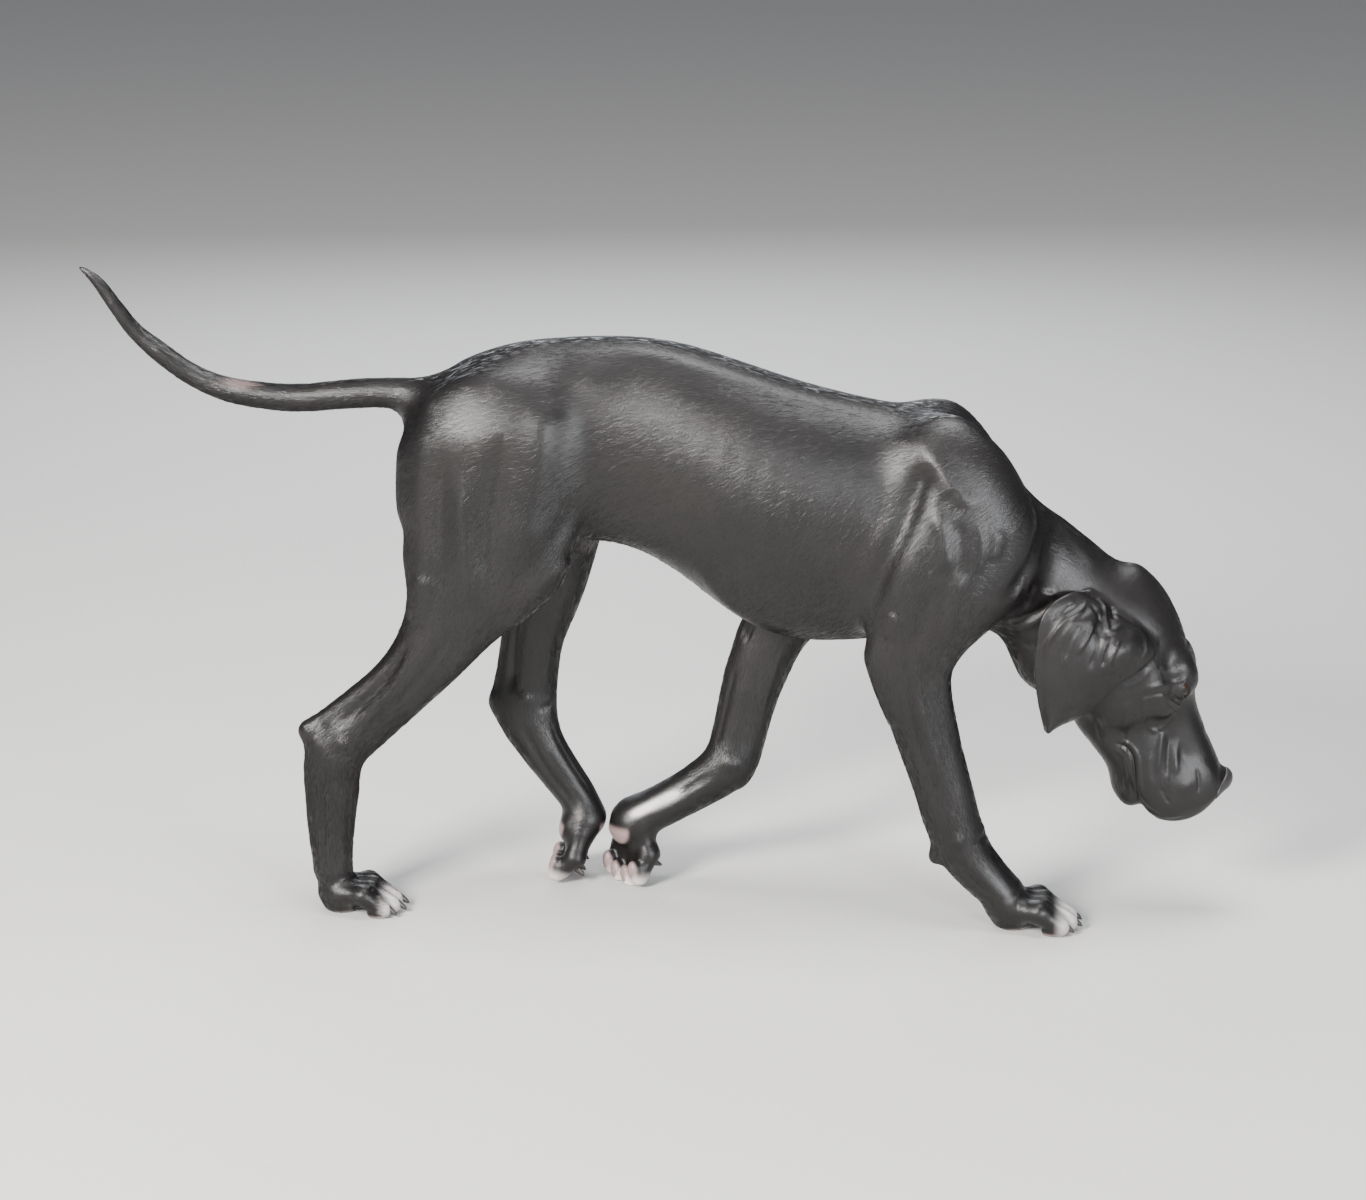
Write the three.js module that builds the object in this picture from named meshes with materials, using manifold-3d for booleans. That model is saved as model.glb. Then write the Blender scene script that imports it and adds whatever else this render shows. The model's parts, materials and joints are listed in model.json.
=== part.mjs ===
// A young great dane walking with its head low to sniff the ground, at life size, in millimetres.
// X runs towards the head, Y to the dog's left and Z up, with the floor at Z = 0.
// The flesh is one smooth field of rounded forms. Each named piece is skinned from that field on a
// grid of its own, and thin cuts part the pieces. Eyes, ears, nose leather and claws are set on it.
import * as THREE from "three";
import { mergeVertices } from "three/addons/utils/BufferGeometryUtils.js";
import Module from "manifold-3d";

const wasm = await Module();
wasm.setup();

// Driving dimensions.
const GAP = 0.3; // between neighbouring pieces
const BOX_CENTRE_X = -27.8; // of the whole dog, in the frame that the tables below use
const RIGHT = -1;
const LEFT = 1;
const THIGH_INSIDE = 40; // from the middle of the body to the inner face of a thigh
const SHOULDER_INSIDE = 48; // and of a shoulder
const TAIL_CUT = 39; // half the width of the cut round the tail's root
const LEG_INSIDE = 2; // and of the legs below the body
const LEG_OUTSIDE = 200; // clear of both sides of the body
const FORE_PAW_SIZE = 0.97;
const HIND_PAW_SIZE = 0.92;
const PAD_SQUASH = 3; // how far a planted paw's pads are pressed flat
const EYE_RADIUS = 12.5;
const LID_RADIUS = 2.6;
const LIP_GROOVE = 3;
const CLAW_LENGTH = 23;
const CLAW_RADIUS = 5.6;
const CLAW_TIP_RADIUS = 1.8;
const CLAW_BEND = 4;
const EAR_THICKNESS = 5;

// The head's own frame has X along the muzzle, Y to the left and Z out of the forehead.
const NAPE = [545, 0, 442];
const HEAD_PITCH = THREE.MathUtils.degToRad(65);
const headFrame = new THREE.Matrix4()
  .makeRotationY(HEAD_PITCH)
  .setPosition(...NAPE);

// Body sections from rump to chest: place along X, height of the back, height of the belly, half width.
const TORSO = [
  [-322, 662, 588, 28],
  [-300, 677, 560, 44],
  [-250, 708, 500, 67],
  [-200, 725, 480, 78],
  [-150, 731, 472, 79],
  [-100, 734, 470, 74],
  [-50, 733, 457, 76],
  [0, 726, 427, 83],
  [50, 711, 388, 92],
  [100, 694, 359, 99],
  [150, 678, 347, 101],
  [200, 666, 347, 98],
  [250, 656, 352, 92],
  [300, 644, 360, 84],
  [340, 625, 370, 74],
  [375, 592, 376, 62],
  [400, 552, 400, 48],
];

// Limbs, neck and tail: centre X, Y, Z, then the radius front to back and the radius sideways.
const NECK = [
  [300, 0, 515, 116, 76],
  [350, 0, 492, 94, 68],
  [392, 0, 466, 84, 60],
  [440, 0, 430, 84, 54],
  [482, 0, 387, 88, 53],
  [505, 0, 355, 84, 53],
];
const TAIL = [
  [-270, 0, 652, 26, 26],
  [-300, 0, 652, 24, 24],
  [-363, 0, 656, 21, 21],
  [-425, 0, 652, 19.5, 19.5],
  [-476, 0, 647, 19, 19],
  [-538, 0, 651, 18, 18],
  [-576, 0, 659, 16.5, 16.5],
  [-613, 0, 676, 15, 15],
  [-650, 0, 703, 14.5, 14.5],
  [-680, 0, 729, 12, 12],
  [-704, 0, 762, 11, 11],
  [-727, 0, 794, 9, 9],
  [-745, 0, 808, 6, 6],
];
const RIGHT_HIND_LEG = [
  [-250, -52, 600, 103, 44],
  [-242, -57, 540, 112, 46],
  [-236, -61, 491, 112, 45],
  [-260, -65, 435, 93, 41],
  [-283, -68, 385, 62, 36],
  [-313, -71, 338, 48, 32],
  [-350, -73, 294, 40, 26],
  [-392, -74, 252, 38, 23],
  [-430, -75, 212, 38, 25],
  [-437, -75, 150, 33, 24],
  [-439, -75, 96, 28, 22],
  [-438, -75, 55, 26, 24],
];
const LEFT_HIND_LEG = [
  [-228, 52, 600, 103, 44],
  [-200, 61, 530, 103, 45],
  [-185, 69, 470, 85, 42],
  [-180, 76, 410, 60, 36],
  [-187, 79, 360, 48, 31],
  [-196, 80, 320, 40, 27],
  [-202, 79, 270, 38, 24],
  [-206, 76, 225, 40, 24],
  [-190, 71, 180, 32, 23],
  [-165, 67, 143, 28, 22],
  [-137, 63, 104, 25, 22],
  [-126, 60, 84, 24, 24],
];
const RIGHT_FORE_LEG = [
  [310, -46, 620, 50, 24],
  [345, -55, 560, 72, 35],
  [350, -64, 500, 85, 39],
  [325, -72, 440, 82, 39],
  [298, -77, 385, 62, 35],
  [286, -79, 345, 55, 32],
  [294, -80, 300, 45, 29],
  [311, -79, 243, 39, 27],
  [331, -78, 178, 36, 26],
  [347, -77, 122, 35, 28],
  [360, -76, 95, 33, 28],
  [385, -75, 65, 30, 28],
  [405, -75, 45, 27, 30],
];
const LEFT_FORE_LEG = [
  [300, 46, 620, 50, 24],
  [320, 55, 560, 70, 34],
  [310, 64, 500, 82, 38],
  [262, 72, 445, 78, 38],
  [195, 76, 405, 62, 35],
  [140, 77, 372, 50, 32],
  [112, 76, 335, 44, 29],
  [92, 73, 290, 41, 28],
  [78, 68, 240, 37, 26],
  [66, 63, 190, 35, 25],
  [55, 60, 160, 36, 28],
  [25, 58, 135, 31, 27],
  [-20, 55, 108, 29, 26],
  [-60, 55, 86, 29, 30],
];

// Muzzle and lower jaw in the head's frame: place, top, bottom, half width.
const MUZZLE = [
  [130, 30, -70, 44],
  [165, 25, -78, 42],
  [195, 18, -84, 38],
  [230, 15, -88, 36],
  [270, 14, -90, 36],
  [300, 12, -84, 32],
];
const LOWER_JAW = [
  [100, -50, -128, 40],
  [156, -58, -131, 38],
  [188, -60, -124, 34],
  [220, -62, -118, 31],
  [252, -66, -121, 28],
  [270, -76, -116, 24],
];

// Grid and blend sizes for skinning the field.
const REACH = 70; // a form is ignored beyond this distance
const FAR = 1000;
const PAW_CELL = [16, 10.5, 13];
const CELL_MARGIN = 0.06; // points keep this share of a cell away from its faces

// Forms: each has its distance in millimetres, negative inside, its box, and how softly it joins.
function smoothMin(a, b, blend) {
  const overlap = Math.max(blend - Math.abs(a - b), 0) / blend;
  return Math.min(a, b) - (overlap * overlap * blend) / 4;
}

function ellipseDistance(across, along, beyond, side, deep, cap) {
  const unit = Math.hypot(across / side, along / deep, beyond / cap);
  const slope = Math.hypot(across / side ** 2, along / deep ** 2, beyond / cap ** 2);
  return unit < 1e-6 ? -Math.min(side, deep) : (unit * (unit - 1)) / slope;
}

// A bent tube through stations of [x, y, z, radius front to back, radius sideways].
function tube(stations, blend = 24, step = 14) {
  const lengths = [0];
  for (let i = 1; i < stations.length; i += 1) {
    const [a, b] = [stations[i - 1], stations[i]];
    lengths.push(lengths[i - 1] + Math.hypot(b[0] - a[0], b[1] - a[1], b[2] - a[2]));
  }
  const along = new THREE.CubicInterpolant(lengths, stations.flat(), 5);
  const total = lengths.at(-1);
  const count = Math.max(2, Math.ceil(total / step));
  const samples = Array.from({ length: count + 1 }, (_, i) => Array.from(along.evaluate((total * i) / count)));
  const links = samples.slice(1).map((end, i) => {
    const start = samples[i];
    const [x, y, z] = [end[0] - start[0], end[1] - start[1], end[2] - start[2]];
    const length = Math.hypot(x, y, z);
    const tangent = [x / length, y / length, z / length];
    const flat = Math.hypot(tangent[0], tangent[2]);
    const deep = [-tangent[2] / flat, 0, tangent[0] / flat];
    const side = [
      tangent[1] * deep[2] - tangent[2] * deep[1],
      tangent[2] * deep[0] - tangent[0] * deep[2],
      tangent[0] * deep[1] - tangent[1] * deep[0],
    ];
    return { start, end, length, tangent, deep, side };
  });
  const widest = Math.max(...stations.map((station) => Math.max(station[3], station[4])));
  const box = new THREE.Box3().setFromPoints(samples.map(([x, y, z]) => new THREE.Vector3(x, y, z)));
  box.expandByScalar(widest);

  function distance(x, y, z) {
    let nearest = Infinity;
    let link = links[0];
    let place = 0;
    for (const candidate of links) {
      const [dx, dy, dz] = [x - candidate.start[0], y - candidate.start[1], z - candidate.start[2]];
      const [tx, ty, tz] = candidate.tangent;
      const run = Math.min(Math.max(dx * tx + dy * ty + dz * tz, 0), candidate.length);
      const away = (dx - run * tx) ** 2 + (dy - run * ty) ** 2 + (dz - run * tz) ** 2;
      if (away < nearest) {
        nearest = away;
        link = candidate;
        place = run;
      }
    }
    const share = place / link.length;
    const [tx, ty, tz] = link.tangent;
    const dx = x - link.start[0] - place * tx;
    const dy = y - link.start[1] - place * ty;
    const dz = z - link.start[2] - place * tz;
    const deep = link.start[3] + (link.end[3] - link.start[3]) * share;
    const side = link.start[4] + (link.end[4] - link.start[4]) * share;
    const across = dx * link.side[0] + dy * link.side[1] + dz * link.side[2];
    const along = dx * link.deep[0] + dz * link.deep[2];
    const beyond = dx * tx + dy * ty + dz * tz;
    return ellipseDistance(across, along, beyond, side, deep, Math.min(side, deep));
  }
  return { distance, box, blend };
}

const capsule = (a, b, radiusA, radiusB, blend = 16) =>
  tube([[...a, radiusA, radiusA], [...b, radiusB, radiusB]], blend, 400);

// An ellipsoid, turned by a frame or by its pitch about Y.
function ellipsoid(centre, radii, { blend = 30, pitch = 0, frame = new THREE.Matrix4(), carve = false } = {}) {
  const own = new THREE.Matrix4().makeRotationY(THREE.MathUtils.degToRad(pitch)).setPosition(...centre);
  const place = frame.clone().multiply(own);
  const inverse = place.clone().invert().elements;
  const widest = Math.max(...radii);
  const middle = new THREE.Vector3().setFromMatrixPosition(place);
  const box = new THREE.Box3(middle.clone().subScalar(widest), middle.clone().addScalar(widest));
  function distance(x, y, z) {
    const m = inverse;
    const a = m[0] * x + m[4] * y + m[8] * z + m[12];
    const b = m[1] * x + m[5] * y + m[9] * z + m[13];
    const c = m[2] * x + m[6] * y + m[10] * z + m[14];
    return ellipseDistance(a, b, c, radii[0], radii[1], radii[2]);
  }
  return { distance, box, blend, carve };
}

// A body along X through sections of [x, top, bottom, half width], squarish, and narrowed towards its
// top by crest and towards its bottom by keel.
function loft(sections, { frame = new THREE.Matrix4(), square = 2.2, crest = 0, keel = 0.15, cap = 40, blend = 30 } = {}) {
  const places = sections.map((section) => section[0]);
  const sizes = new THREE.CubicInterpolant(places, sections.map((section) => section.slice(1)).flat(), 3);
  const [first, last] = [places[0], places.at(-1)];
  const inverse = frame.clone().invert().elements;
  const box = new THREE.Box3();
  for (const [x, top, bottom, half] of sections) {
    box.expandByPoint(new THREE.Vector3(x, half, top));
    box.expandByPoint(new THREE.Vector3(x, -half, bottom));
  }
  box.expandByScalar(cap);
  box.applyMatrix4(frame);
  function distance(x, y, z) {
    const m = inverse;
    const a = m[0] * x + m[4] * y + m[8] * z + m[12];
    const b = m[1] * x + m[5] * y + m[9] * z + m[13];
    const c = m[2] * x + m[6] * y + m[10] * z + m[14];
    const place = Math.min(Math.max(a, first), last);
    const [top, bottom, half] = sizes.evaluate(place);
    const rise = c - (top + bottom) / 2;
    const tall = (top - bottom) / 2;
    const level = Math.min(Math.max(rise / tall, -1), 1);
    const wide = half * (1 - (level > 0 ? crest : keel) * level * level);
    const beyond = a - place;
    const unit = (
      Math.abs(b / wide) ** square + Math.abs(rise / tall) ** square + Math.abs(beyond / cap) ** square
    ) ** (1 / square);
    const radius = Math.hypot(b, rise, beyond);
    return unit < 1e-3 ? -Math.min(wide, tall) : radius * (1 - 1 / unit);
  }
  return { distance, box, blend };
}

function fieldAt(forms, x, y, z) {
  let value = FAR;
  for (const form of forms) {
    const { min, max } = form.box;
    const near = x > min.x - REACH && x < max.x + REACH && y > min.y - REACH && y < max.y + REACH
      && z > min.z - REACH && z < max.z + REACH;
    if (near) {
      const own = form.distance(x, y, z);
      value = form.carve ? -smoothMin(-value, own, form.blend) : smoothMin(value, own, form.blend);
    }
  }
  return value;
}

function slopeAt(forms, point) {
  const step = 0.5;
  const at = (x, y, z) => fieldAt(forms, point.x + x, point.y + y, point.z + z);
  return new THREE.Vector3(
    at(step, 0, 0) - at(-step, 0, 0),
    at(0, step, 0) - at(0, -step, 0),
    at(0, 0, step) - at(0, 0, -step),
  ).divideScalar(2 * step);
}

// The distance from a point along a direction to where the field's surface is.
function surfaceAlong(forms, start, direction, furthest = 120) {
  let [inside, outside] = [0, furthest];
  for (let i = 0; i < 24; i += 1) {
    const middle = (inside + outside) / 2;
    const probe = direction.clone().multiplyScalar(middle).add(start);
    if (fieldAt(forms, probe.x, probe.y, probe.z) < 0) inside = middle;
    else outside = middle;
  }
  return direction.clone().multiplyScalar(inside).add(start);
}

// Skins the field inside a box of its own frame, with one point in each grid cell that the surface
// crosses, drawn onto the surface. grow moves the skin out by that much.
function skin(forms, { frame = new THREE.Matrix4(), low, high, cell }, grow = 0) {
  const counts = [0, 1, 2].map((axis) => Math.ceil((high[axis] - low[axis]) / cell[axis]) + 1);
  const [nx, ny, nz] = counts;
  const local = (i, j, k) => new THREE.Vector3(low[0] + i * cell[0], low[1] + j * cell[1], low[2] + k * cell[2]);
  const index = (i, j, k) => (k * ny + j) * nx + i;
  const values = new Float32Array(nx * ny * nz);
  for (let k = 0; k < nz; k += 1) {
    for (let j = 0; j < ny; j += 1) {
      for (let i = 0; i < nx; i += 1) {
        const p = local(i, j, k).applyMatrix4(frame);
        const value = fieldAt(forms, p.x, p.y, p.z);
        const edge = i === 0 || j === 0 || k === 0 || i === nx - 1 || j === ny - 1 || k === nz - 1;
        values[index(i, j, k)] = edge ? Math.max(value, 1) : value;
      }
    }
  }
  unpinch(values, [1, nx, nx * ny]);
  const points = [];
  const pointOf = new Int32Array(values.length).fill(-1);
  const inverse = frame.clone().invert();
  for (let k = 0; k < nz - 1; k += 1) {
    for (let j = 0; j < ny - 1; j += 1) {
      for (let i = 0; i < nx - 1; i += 1) {
        const crossing = cellCrossing(values, index, i, j, k);
        if (crossing) {
          const corner = local(i, j, k);
          const start = new THREE.Vector3(
            corner.x + crossing[0] * cell[0],
            corner.y + crossing[1] * cell[1],
            corner.z + crossing[2] * cell[2],
          );
          const rim = i === 0 || j === 0 || k === 0 || i === nx - 2 || j === ny - 2 || k === nz - 2;
          pointOf[index(i, j, k)] = points.length;
          points.push(rim ? start.applyMatrix4(frame) : drawn(forms, start, corner, cell, frame, inverse, grow));
        }
      }
    }
  }
  const triangles = [];
  const addQuad = (a, b, c, d, flip) => {
    const [p, q, r, s] = [a, b, c, d].map((cellIndex) => pointOf[cellIndex]);
    const short = points[p].distanceToSquared(points[r]) < points[q].distanceToSquared(points[s]);
    const faces = short ? [[p, q, r], [p, r, s]] : [[p, q, s], [q, r, s]];
    faces.forEach((face) => triangles.push(...(flip ? face.reverse() : face)));
  };
  for (let k = 0; k < nz - 1; k += 1) {
    for (let j = 0; j < ny - 1; j += 1) {
      for (let i = 0; i < nx - 1; i += 1) {
        const inside = values[index(i, j, k)] < 0;
        const crosses = (di, dj, dk) => inside !== values[index(i + di, j + dj, k + dk)] < 0;
        if (j > 0 && k > 0 && crosses(1, 0, 0)) {
          addQuad(index(i, j - 1, k - 1), index(i, j, k - 1), index(i, j, k), index(i, j - 1, k), !inside);
        }
        if (i > 0 && k > 0 && crosses(0, 1, 0)) {
          addQuad(index(i - 1, j, k - 1), index(i - 1, j, k), index(i, j, k), index(i, j, k - 1), !inside);
        }
        if (i > 0 && j > 0 && crosses(0, 0, 1)) {
          addQuad(index(i - 1, j - 1, k), index(i, j - 1, k), index(i, j, k), index(i - 1, j, k), !inside);
        }
      }
    }
  }
  const positions = new Float32Array(points.flatMap((point) => point.toArray()));
  return toSolid(positions, new Uint32Array(triangles));
}

// Where the corners of a grid face are in and out by turns, the skin would pinch to a line. The
// shallower of the two inside corners is counted as outside there.
function unpinch(values, strides) {
  let pinched = true;
  while (pinched) {
    pinched = false;
    for (const [a, b] of [[strides[0], strides[1]], [strides[1], strides[2]], [strides[2], strides[0]]]) {
      for (let n = 0; n + a + b < values.length; n += 1) {
        const [in0, in1, in2, in3] = [n, n + a, n + a + b, n + b].map((corner) => values[corner] < 0);
        if (in0 === in2 && in1 === in3 && in0 !== in1) {
          const [first, second] = in0 ? [n, n + a + b] : [n + a, n + b];
          const shallow = values[first] > values[second] ? first : second;
          values[shallow] = -values[shallow];
          pinched = true;
        }
      }
    }
  }
}

// The mean of the places where a cell's edges cross the surface, as shares of the cell.
function cellCrossing(values, index, i, j, k) {
  const corner = (n) => values[index(i + (n & 1), j + ((n >> 1) & 1), k + ((n >> 2) & 1))];
  const sum = [0, 0, 0];
  let count = 0;
  for (let from = 0; from < 8; from += 1) {
    for (let axis = 0; axis < 3; axis += 1) {
      const to = from | (1 << axis);
      const [a, b] = [corner(from), corner(to)];
      if (to !== from && a < 0 !== b < 0) {
        const share = a / (a - b);
        for (let n = 0; n < 3; n += 1) {
          sum[n] += n === axis ? share : (from >> n) & 1;
        }
        count += 1;
      }
    }
  }
  return count > 0 ? sum.map((value) => value / count) : null;
}

// Draws a point onto the surface, keeping it inside its own cell so that no face folds over.
function drawn(forms, start, corner, cell, frame, inverse, grow) {
  const point = start.clone().applyMatrix4(frame);
  const size = new THREE.Vector3(...cell);
  const low = corner.clone().addScaledVector(size, CELL_MARGIN);
  const high = corner.clone().addScaledVector(size, 1 - CELL_MARGIN);
  for (let pass = 0; pass < 3; pass += 1) {
    const slope = slopeAt(forms, point);
    const value = fieldAt(forms, point.x, point.y, point.z);
    point.addScaledVector(slope, -value / Math.max(slope.lengthSq(), 0.25));
    point.applyMatrix4(inverse).clamp(low, high).applyMatrix4(frame);
  }
  return point.addScaledVector(slopeAt(forms, point).normalize(), grow);
}

// Between three.js geometry and closed solids.
function toSolid(vertProperties, triVerts) {
  return new wasm.Manifold(new wasm.Mesh({ numProp: 3, vertProperties, triVerts }));
}

function solidOf(geometry, matrix = new THREE.Matrix4()) {
  const bare = geometry.clone().applyMatrix4(matrix);
  bare.deleteAttribute("normal");
  bare.deleteAttribute("uv");
  const merged = mergeVertices(bare, 1e-4);
  return toSolid(new Float32Array(merged.attributes.position.array), new Uint32Array(merged.index.array));
}

function largest(solid) {
  const pieces = solid.decompose();
  return pieces.reduce((best, piece) => (piece.volume() > best.volume() ? piece : best));
}

function geometryOf(solid) {
  const { vertProperties, triVerts, numProp } = solid.getMesh();
  const geometry = new THREE.BufferGeometry();
  const positions = new Float32Array((vertProperties.length / numProp) * 3);
  for (let i = 0; i < positions.length / 3; i += 1) {
    positions.set(vertProperties.subarray(i * numProp, i * numProp + 3), i * 3);
  }
  geometry.setAttribute("position", new THREE.BufferAttribute(positions, 3));
  geometry.setIndex(new THREE.BufferAttribute(triVerts, 1));
  geometry.computeVertexNormals();
  return geometry;
}

// A prism of an outline in X and Z, between two distances from the middle on one side of the body.
// The outline is convex, and grow moves all of its faces out.
function prism(outline, side, inner, outer, grow = 0) {
  const corners = outline.map(([x, z]) => new THREE.Vector2(x, z));
  const turn = Math.sign(THREE.ShapeUtils.area(corners));
  const grown = corners.map((corner, i) => {
    const before = corner.clone().sub(corners.at(i - 1)).normalize();
    const after = corners[(i + 1) % corners.length].clone().sub(corner).normalize();
    const outBefore = new THREE.Vector2(before.y, -before.x).multiplyScalar(turn);
    const outAfter = new THREE.Vector2(after.y, -after.x).multiplyScalar(turn);
    const outward = outBefore.clone().add(outAfter);
    return corner.clone().addScaledVector(outward, grow / (1 + outBefore.dot(outAfter)));
  });
  const depth = outer - inner + 2 * grow;
  const geometry = new THREE.ExtrudeGeometry(new THREE.Shape(grown), { depth, bevelEnabled: false });
  const far = side < 0 ? -outer - grow : inner - grow;
  const place = new THREE.Matrix4().makeRotationX(Math.PI / 2).setPosition(0, far + depth, 0);
  return solidOf(geometry, place);
}

// Plane cuts. Each is given by a point on it and the direction that it faces; keep says which side
// stays, and the far side of the cut starts GAP further on.
function cut(point, facing) {
  const direction = new THREE.Vector3(...facing).normalize();
  const offset = direction.dot(new THREE.Vector3(...point));
  return {
    beyond: (solid) => solid.trimByPlane(direction.toArray(), offset + GAP),
    before: (solid) => solid.trimByPlane(direction.clone().negate().toArray(), -offset),
  };
}

const nape = cut([548, 0, 450], [0.846, 0, -0.534]);
const collar = cut([372, 0, 600], [0.99, 0, 0.12]);
const tailMiddle = cut([-520, 0, 650], [-1, 0, 0.1]);
const floor = cut([0, 0, -GAP], [0, 0, 1]);

// Forms of the trunk, neck and tail.
const bothSides = (make) => [RIGHT, LEFT].map(make);
const trunkForms = [
  loft(TORSO, { square: 2.1, crest: 0.14, keel: 0.2, cap: 24 }),
  ...bothSides((side) => ellipsoid([-232, side * 50, 632], [85, 38, 66], { blend: 44 })),
];
const neckForms = [
  tube(NECK, 36, 20),
  ellipsoid([462, 0, 330], [46, 30, 40], { blend: 30 }),
];
const tailForms = [tube(TAIL, 24, 16)];

// Forms of the head, in the head's frame.
const inHead = { frame: headFrame };
const headForms = [
  ellipsoid([85, 0, -18], [95, 58, 60], { ...inHead, blend: 26 }),
  ellipsoid([42, 0, 14], [44, 20, 18], { ...inHead, blend: 24 }),
  loft(MUZZLE, { ...inHead, square: 2.9, keel: 0, cap: 12, blend: 22 }),
  loft(LOWER_JAW, { ...inHead, square: 2.4, keel: 0.12, cap: 14, blend: 14 }),
  ellipsoid([262, 0, -106], [20, 22, 15], { ...inHead, blend: 12 }),
  ...bothSides((side) => ellipsoid([112, side * 40, -60], [58, 24, 48], { ...inHead, blend: 26 })),
  ...bothSides((side) => ellipsoid([138, side * 30, 22], [26, 18, 16], { ...inHead, blend: 18 })),
  ...bothSides((side) => ellipsoid([132, side * 46, -18], [44, 12, 13], { ...inHead, blend: 22 })),
  ...bothSides((side) => ellipsoid([285, side * 26, -44], [37, 15, 47], { ...inHead, blend: 16 })),
  ...bothSides((side) => ellipsoid([242, side * 34, -62], [52, 9, 30], { ...inHead, blend: 16 })),
  ellipsoid([296, 0, 4], [15, 23, 18], { ...inHead, blend: 7 }),
];

// A paw in its own frame, with X to the toe tips, Y across and Z out of its back, planted on Z = 0.
function pawForms(frame, size) {
  const scaled = frame.clone().scale(new THREE.Vector3(size, size, size));
  const at = (...point) => new THREE.Vector3(...point).applyMatrix4(scaled).toArray();
  const round = (centre, radii, blend) =>
    ellipsoid(new THREE.Vector3(...centre).multiplyScalar(size).toArray(), radii.map((r) => r * size), { frame, blend });
  const forms = [
    round([4, 0, 28], [32, 31, 25], 16),
    round([4, 0, 12], [23, 25, 13], 8),
  ];
  for (const { across, length } of TOES) {
    const knuckle = at(46 * length, across, 33);
    forms.push(capsule(at(10, 0.6 * across, 32), knuckle, 15 * size, 15.5 * size, 10));
    forms.push(capsule(knuckle, at(78 * length, 1.05 * across, 15), 15 * size, 12.5 * size, 6));
    forms.push(round([66 * length, across, 9], [14, 10.5, 10], 5));
  }
  return forms;
}

// Toes of a paw: distance from its middle, and length against the middle toes.
const TOES = [
  { across: -29, length: 0.86 },
  { across: -11, length: 1 },
  { across: 11, length: 1 },
  { across: 29, length: 0.86 },
];

// A claw's root and tip, forward and up in the paw's frame, on a flat paw and on a hanging one.
const CLAW_FORWARD = [[76, 22], [96, 14]];
const CLAW_RAISED = [[58, 30], [63, 46]];

// Paw frames, from where the paw's middle meets its floor, its heading and its tilt.
function pawFrame(origin, toes, back) {
  const forward = new THREE.Vector3(...toes).normalize();
  const across = new THREE.Vector3(...back).cross(forward).normalize();
  const up = forward.clone().cross(across);
  return new THREE.Matrix4().makeBasis(forward, across, up).setPosition(...origin);
}

const legs = {
  hind_right: {
    side: RIGHT,
    size: HIND_PAW_SIZE,
    claw: CLAW_FORWARD,
    paw: pawFrame([-433, -75, -PAD_SQUASH], [1, 0, 0], [0, 0, 1]),
    forms: [
      tube(RIGHT_HIND_LEG, 44),
      capsule([-462, -75, 235], [-430, -75, 200], 14, 26, 12),
      capsule([-345, -73, 330], [-465, -75, 240], 11, 9, 14),
    ],
  },
  hind_left: {
    side: LEFT,
    size: HIND_PAW_SIZE,
    claw: CLAW_RAISED,
    paw: pawFrame([-162, 60, 78], [-0.25, 0, -0.97], [0.97, 0, -0.25]),
    forms: [
      tube(LEFT_HIND_LEG, 44),
      capsule([-243, 76, 228], [-212, 76, 200], 14, 24, 12),
      capsule([-222, 80, 340], [-243, 76, 236], 12, 9, 14),
    ],
  },
  fore_right: {
    side: RIGHT,
    size: FORE_PAW_SIZE,
    claw: CLAW_FORWARD,
    paw: pawFrame([413, -75, -PAD_SQUASH], [1, 0, 0], [0, 0, 1]),
    forms: [
      tube(RIGHT_FORE_LEG, 44),
      ellipsoid([300, -76, 450], [68, 35, 82], { blend: 36 }),
      ellipsoid([348, -60, 530], [56, 35, 98], { blend: 44, pitch: -25 }),
      capsule([240, -78, 352], [275, -79, 345], 14, 25, 16),
      ellipsoid([322, -76, 92], [11, 9, 13], { blend: 8 }),
    ],
  },
  fore_left: {
    side: LEFT,
    size: FORE_PAW_SIZE,
    claw: CLAW_RAISED,
    paw: pawFrame([-92, 38, 78], [0.06, 0, -1], [0.77, 0.64, 0]),
    forms: [
      tube(LEFT_FORE_LEG, 44),
      ellipsoid([262, 74, 460], [72, 34, 78], { blend: 36 }),
      ellipsoid([322, 60, 532], [58, 35, 94], { blend: 44, pitch: -22 }),
      capsule([90, 76, 380], [130, 77, 372], 14, 24, 16),
      ellipsoid([8, 56, 146], [12, 9, 12], { blend: 8 }),
    ],
  },
};
for (const leg of Object.values(legs)) {
  leg.forms.push(...pawForms(leg.paw, leg.size));
}

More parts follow.
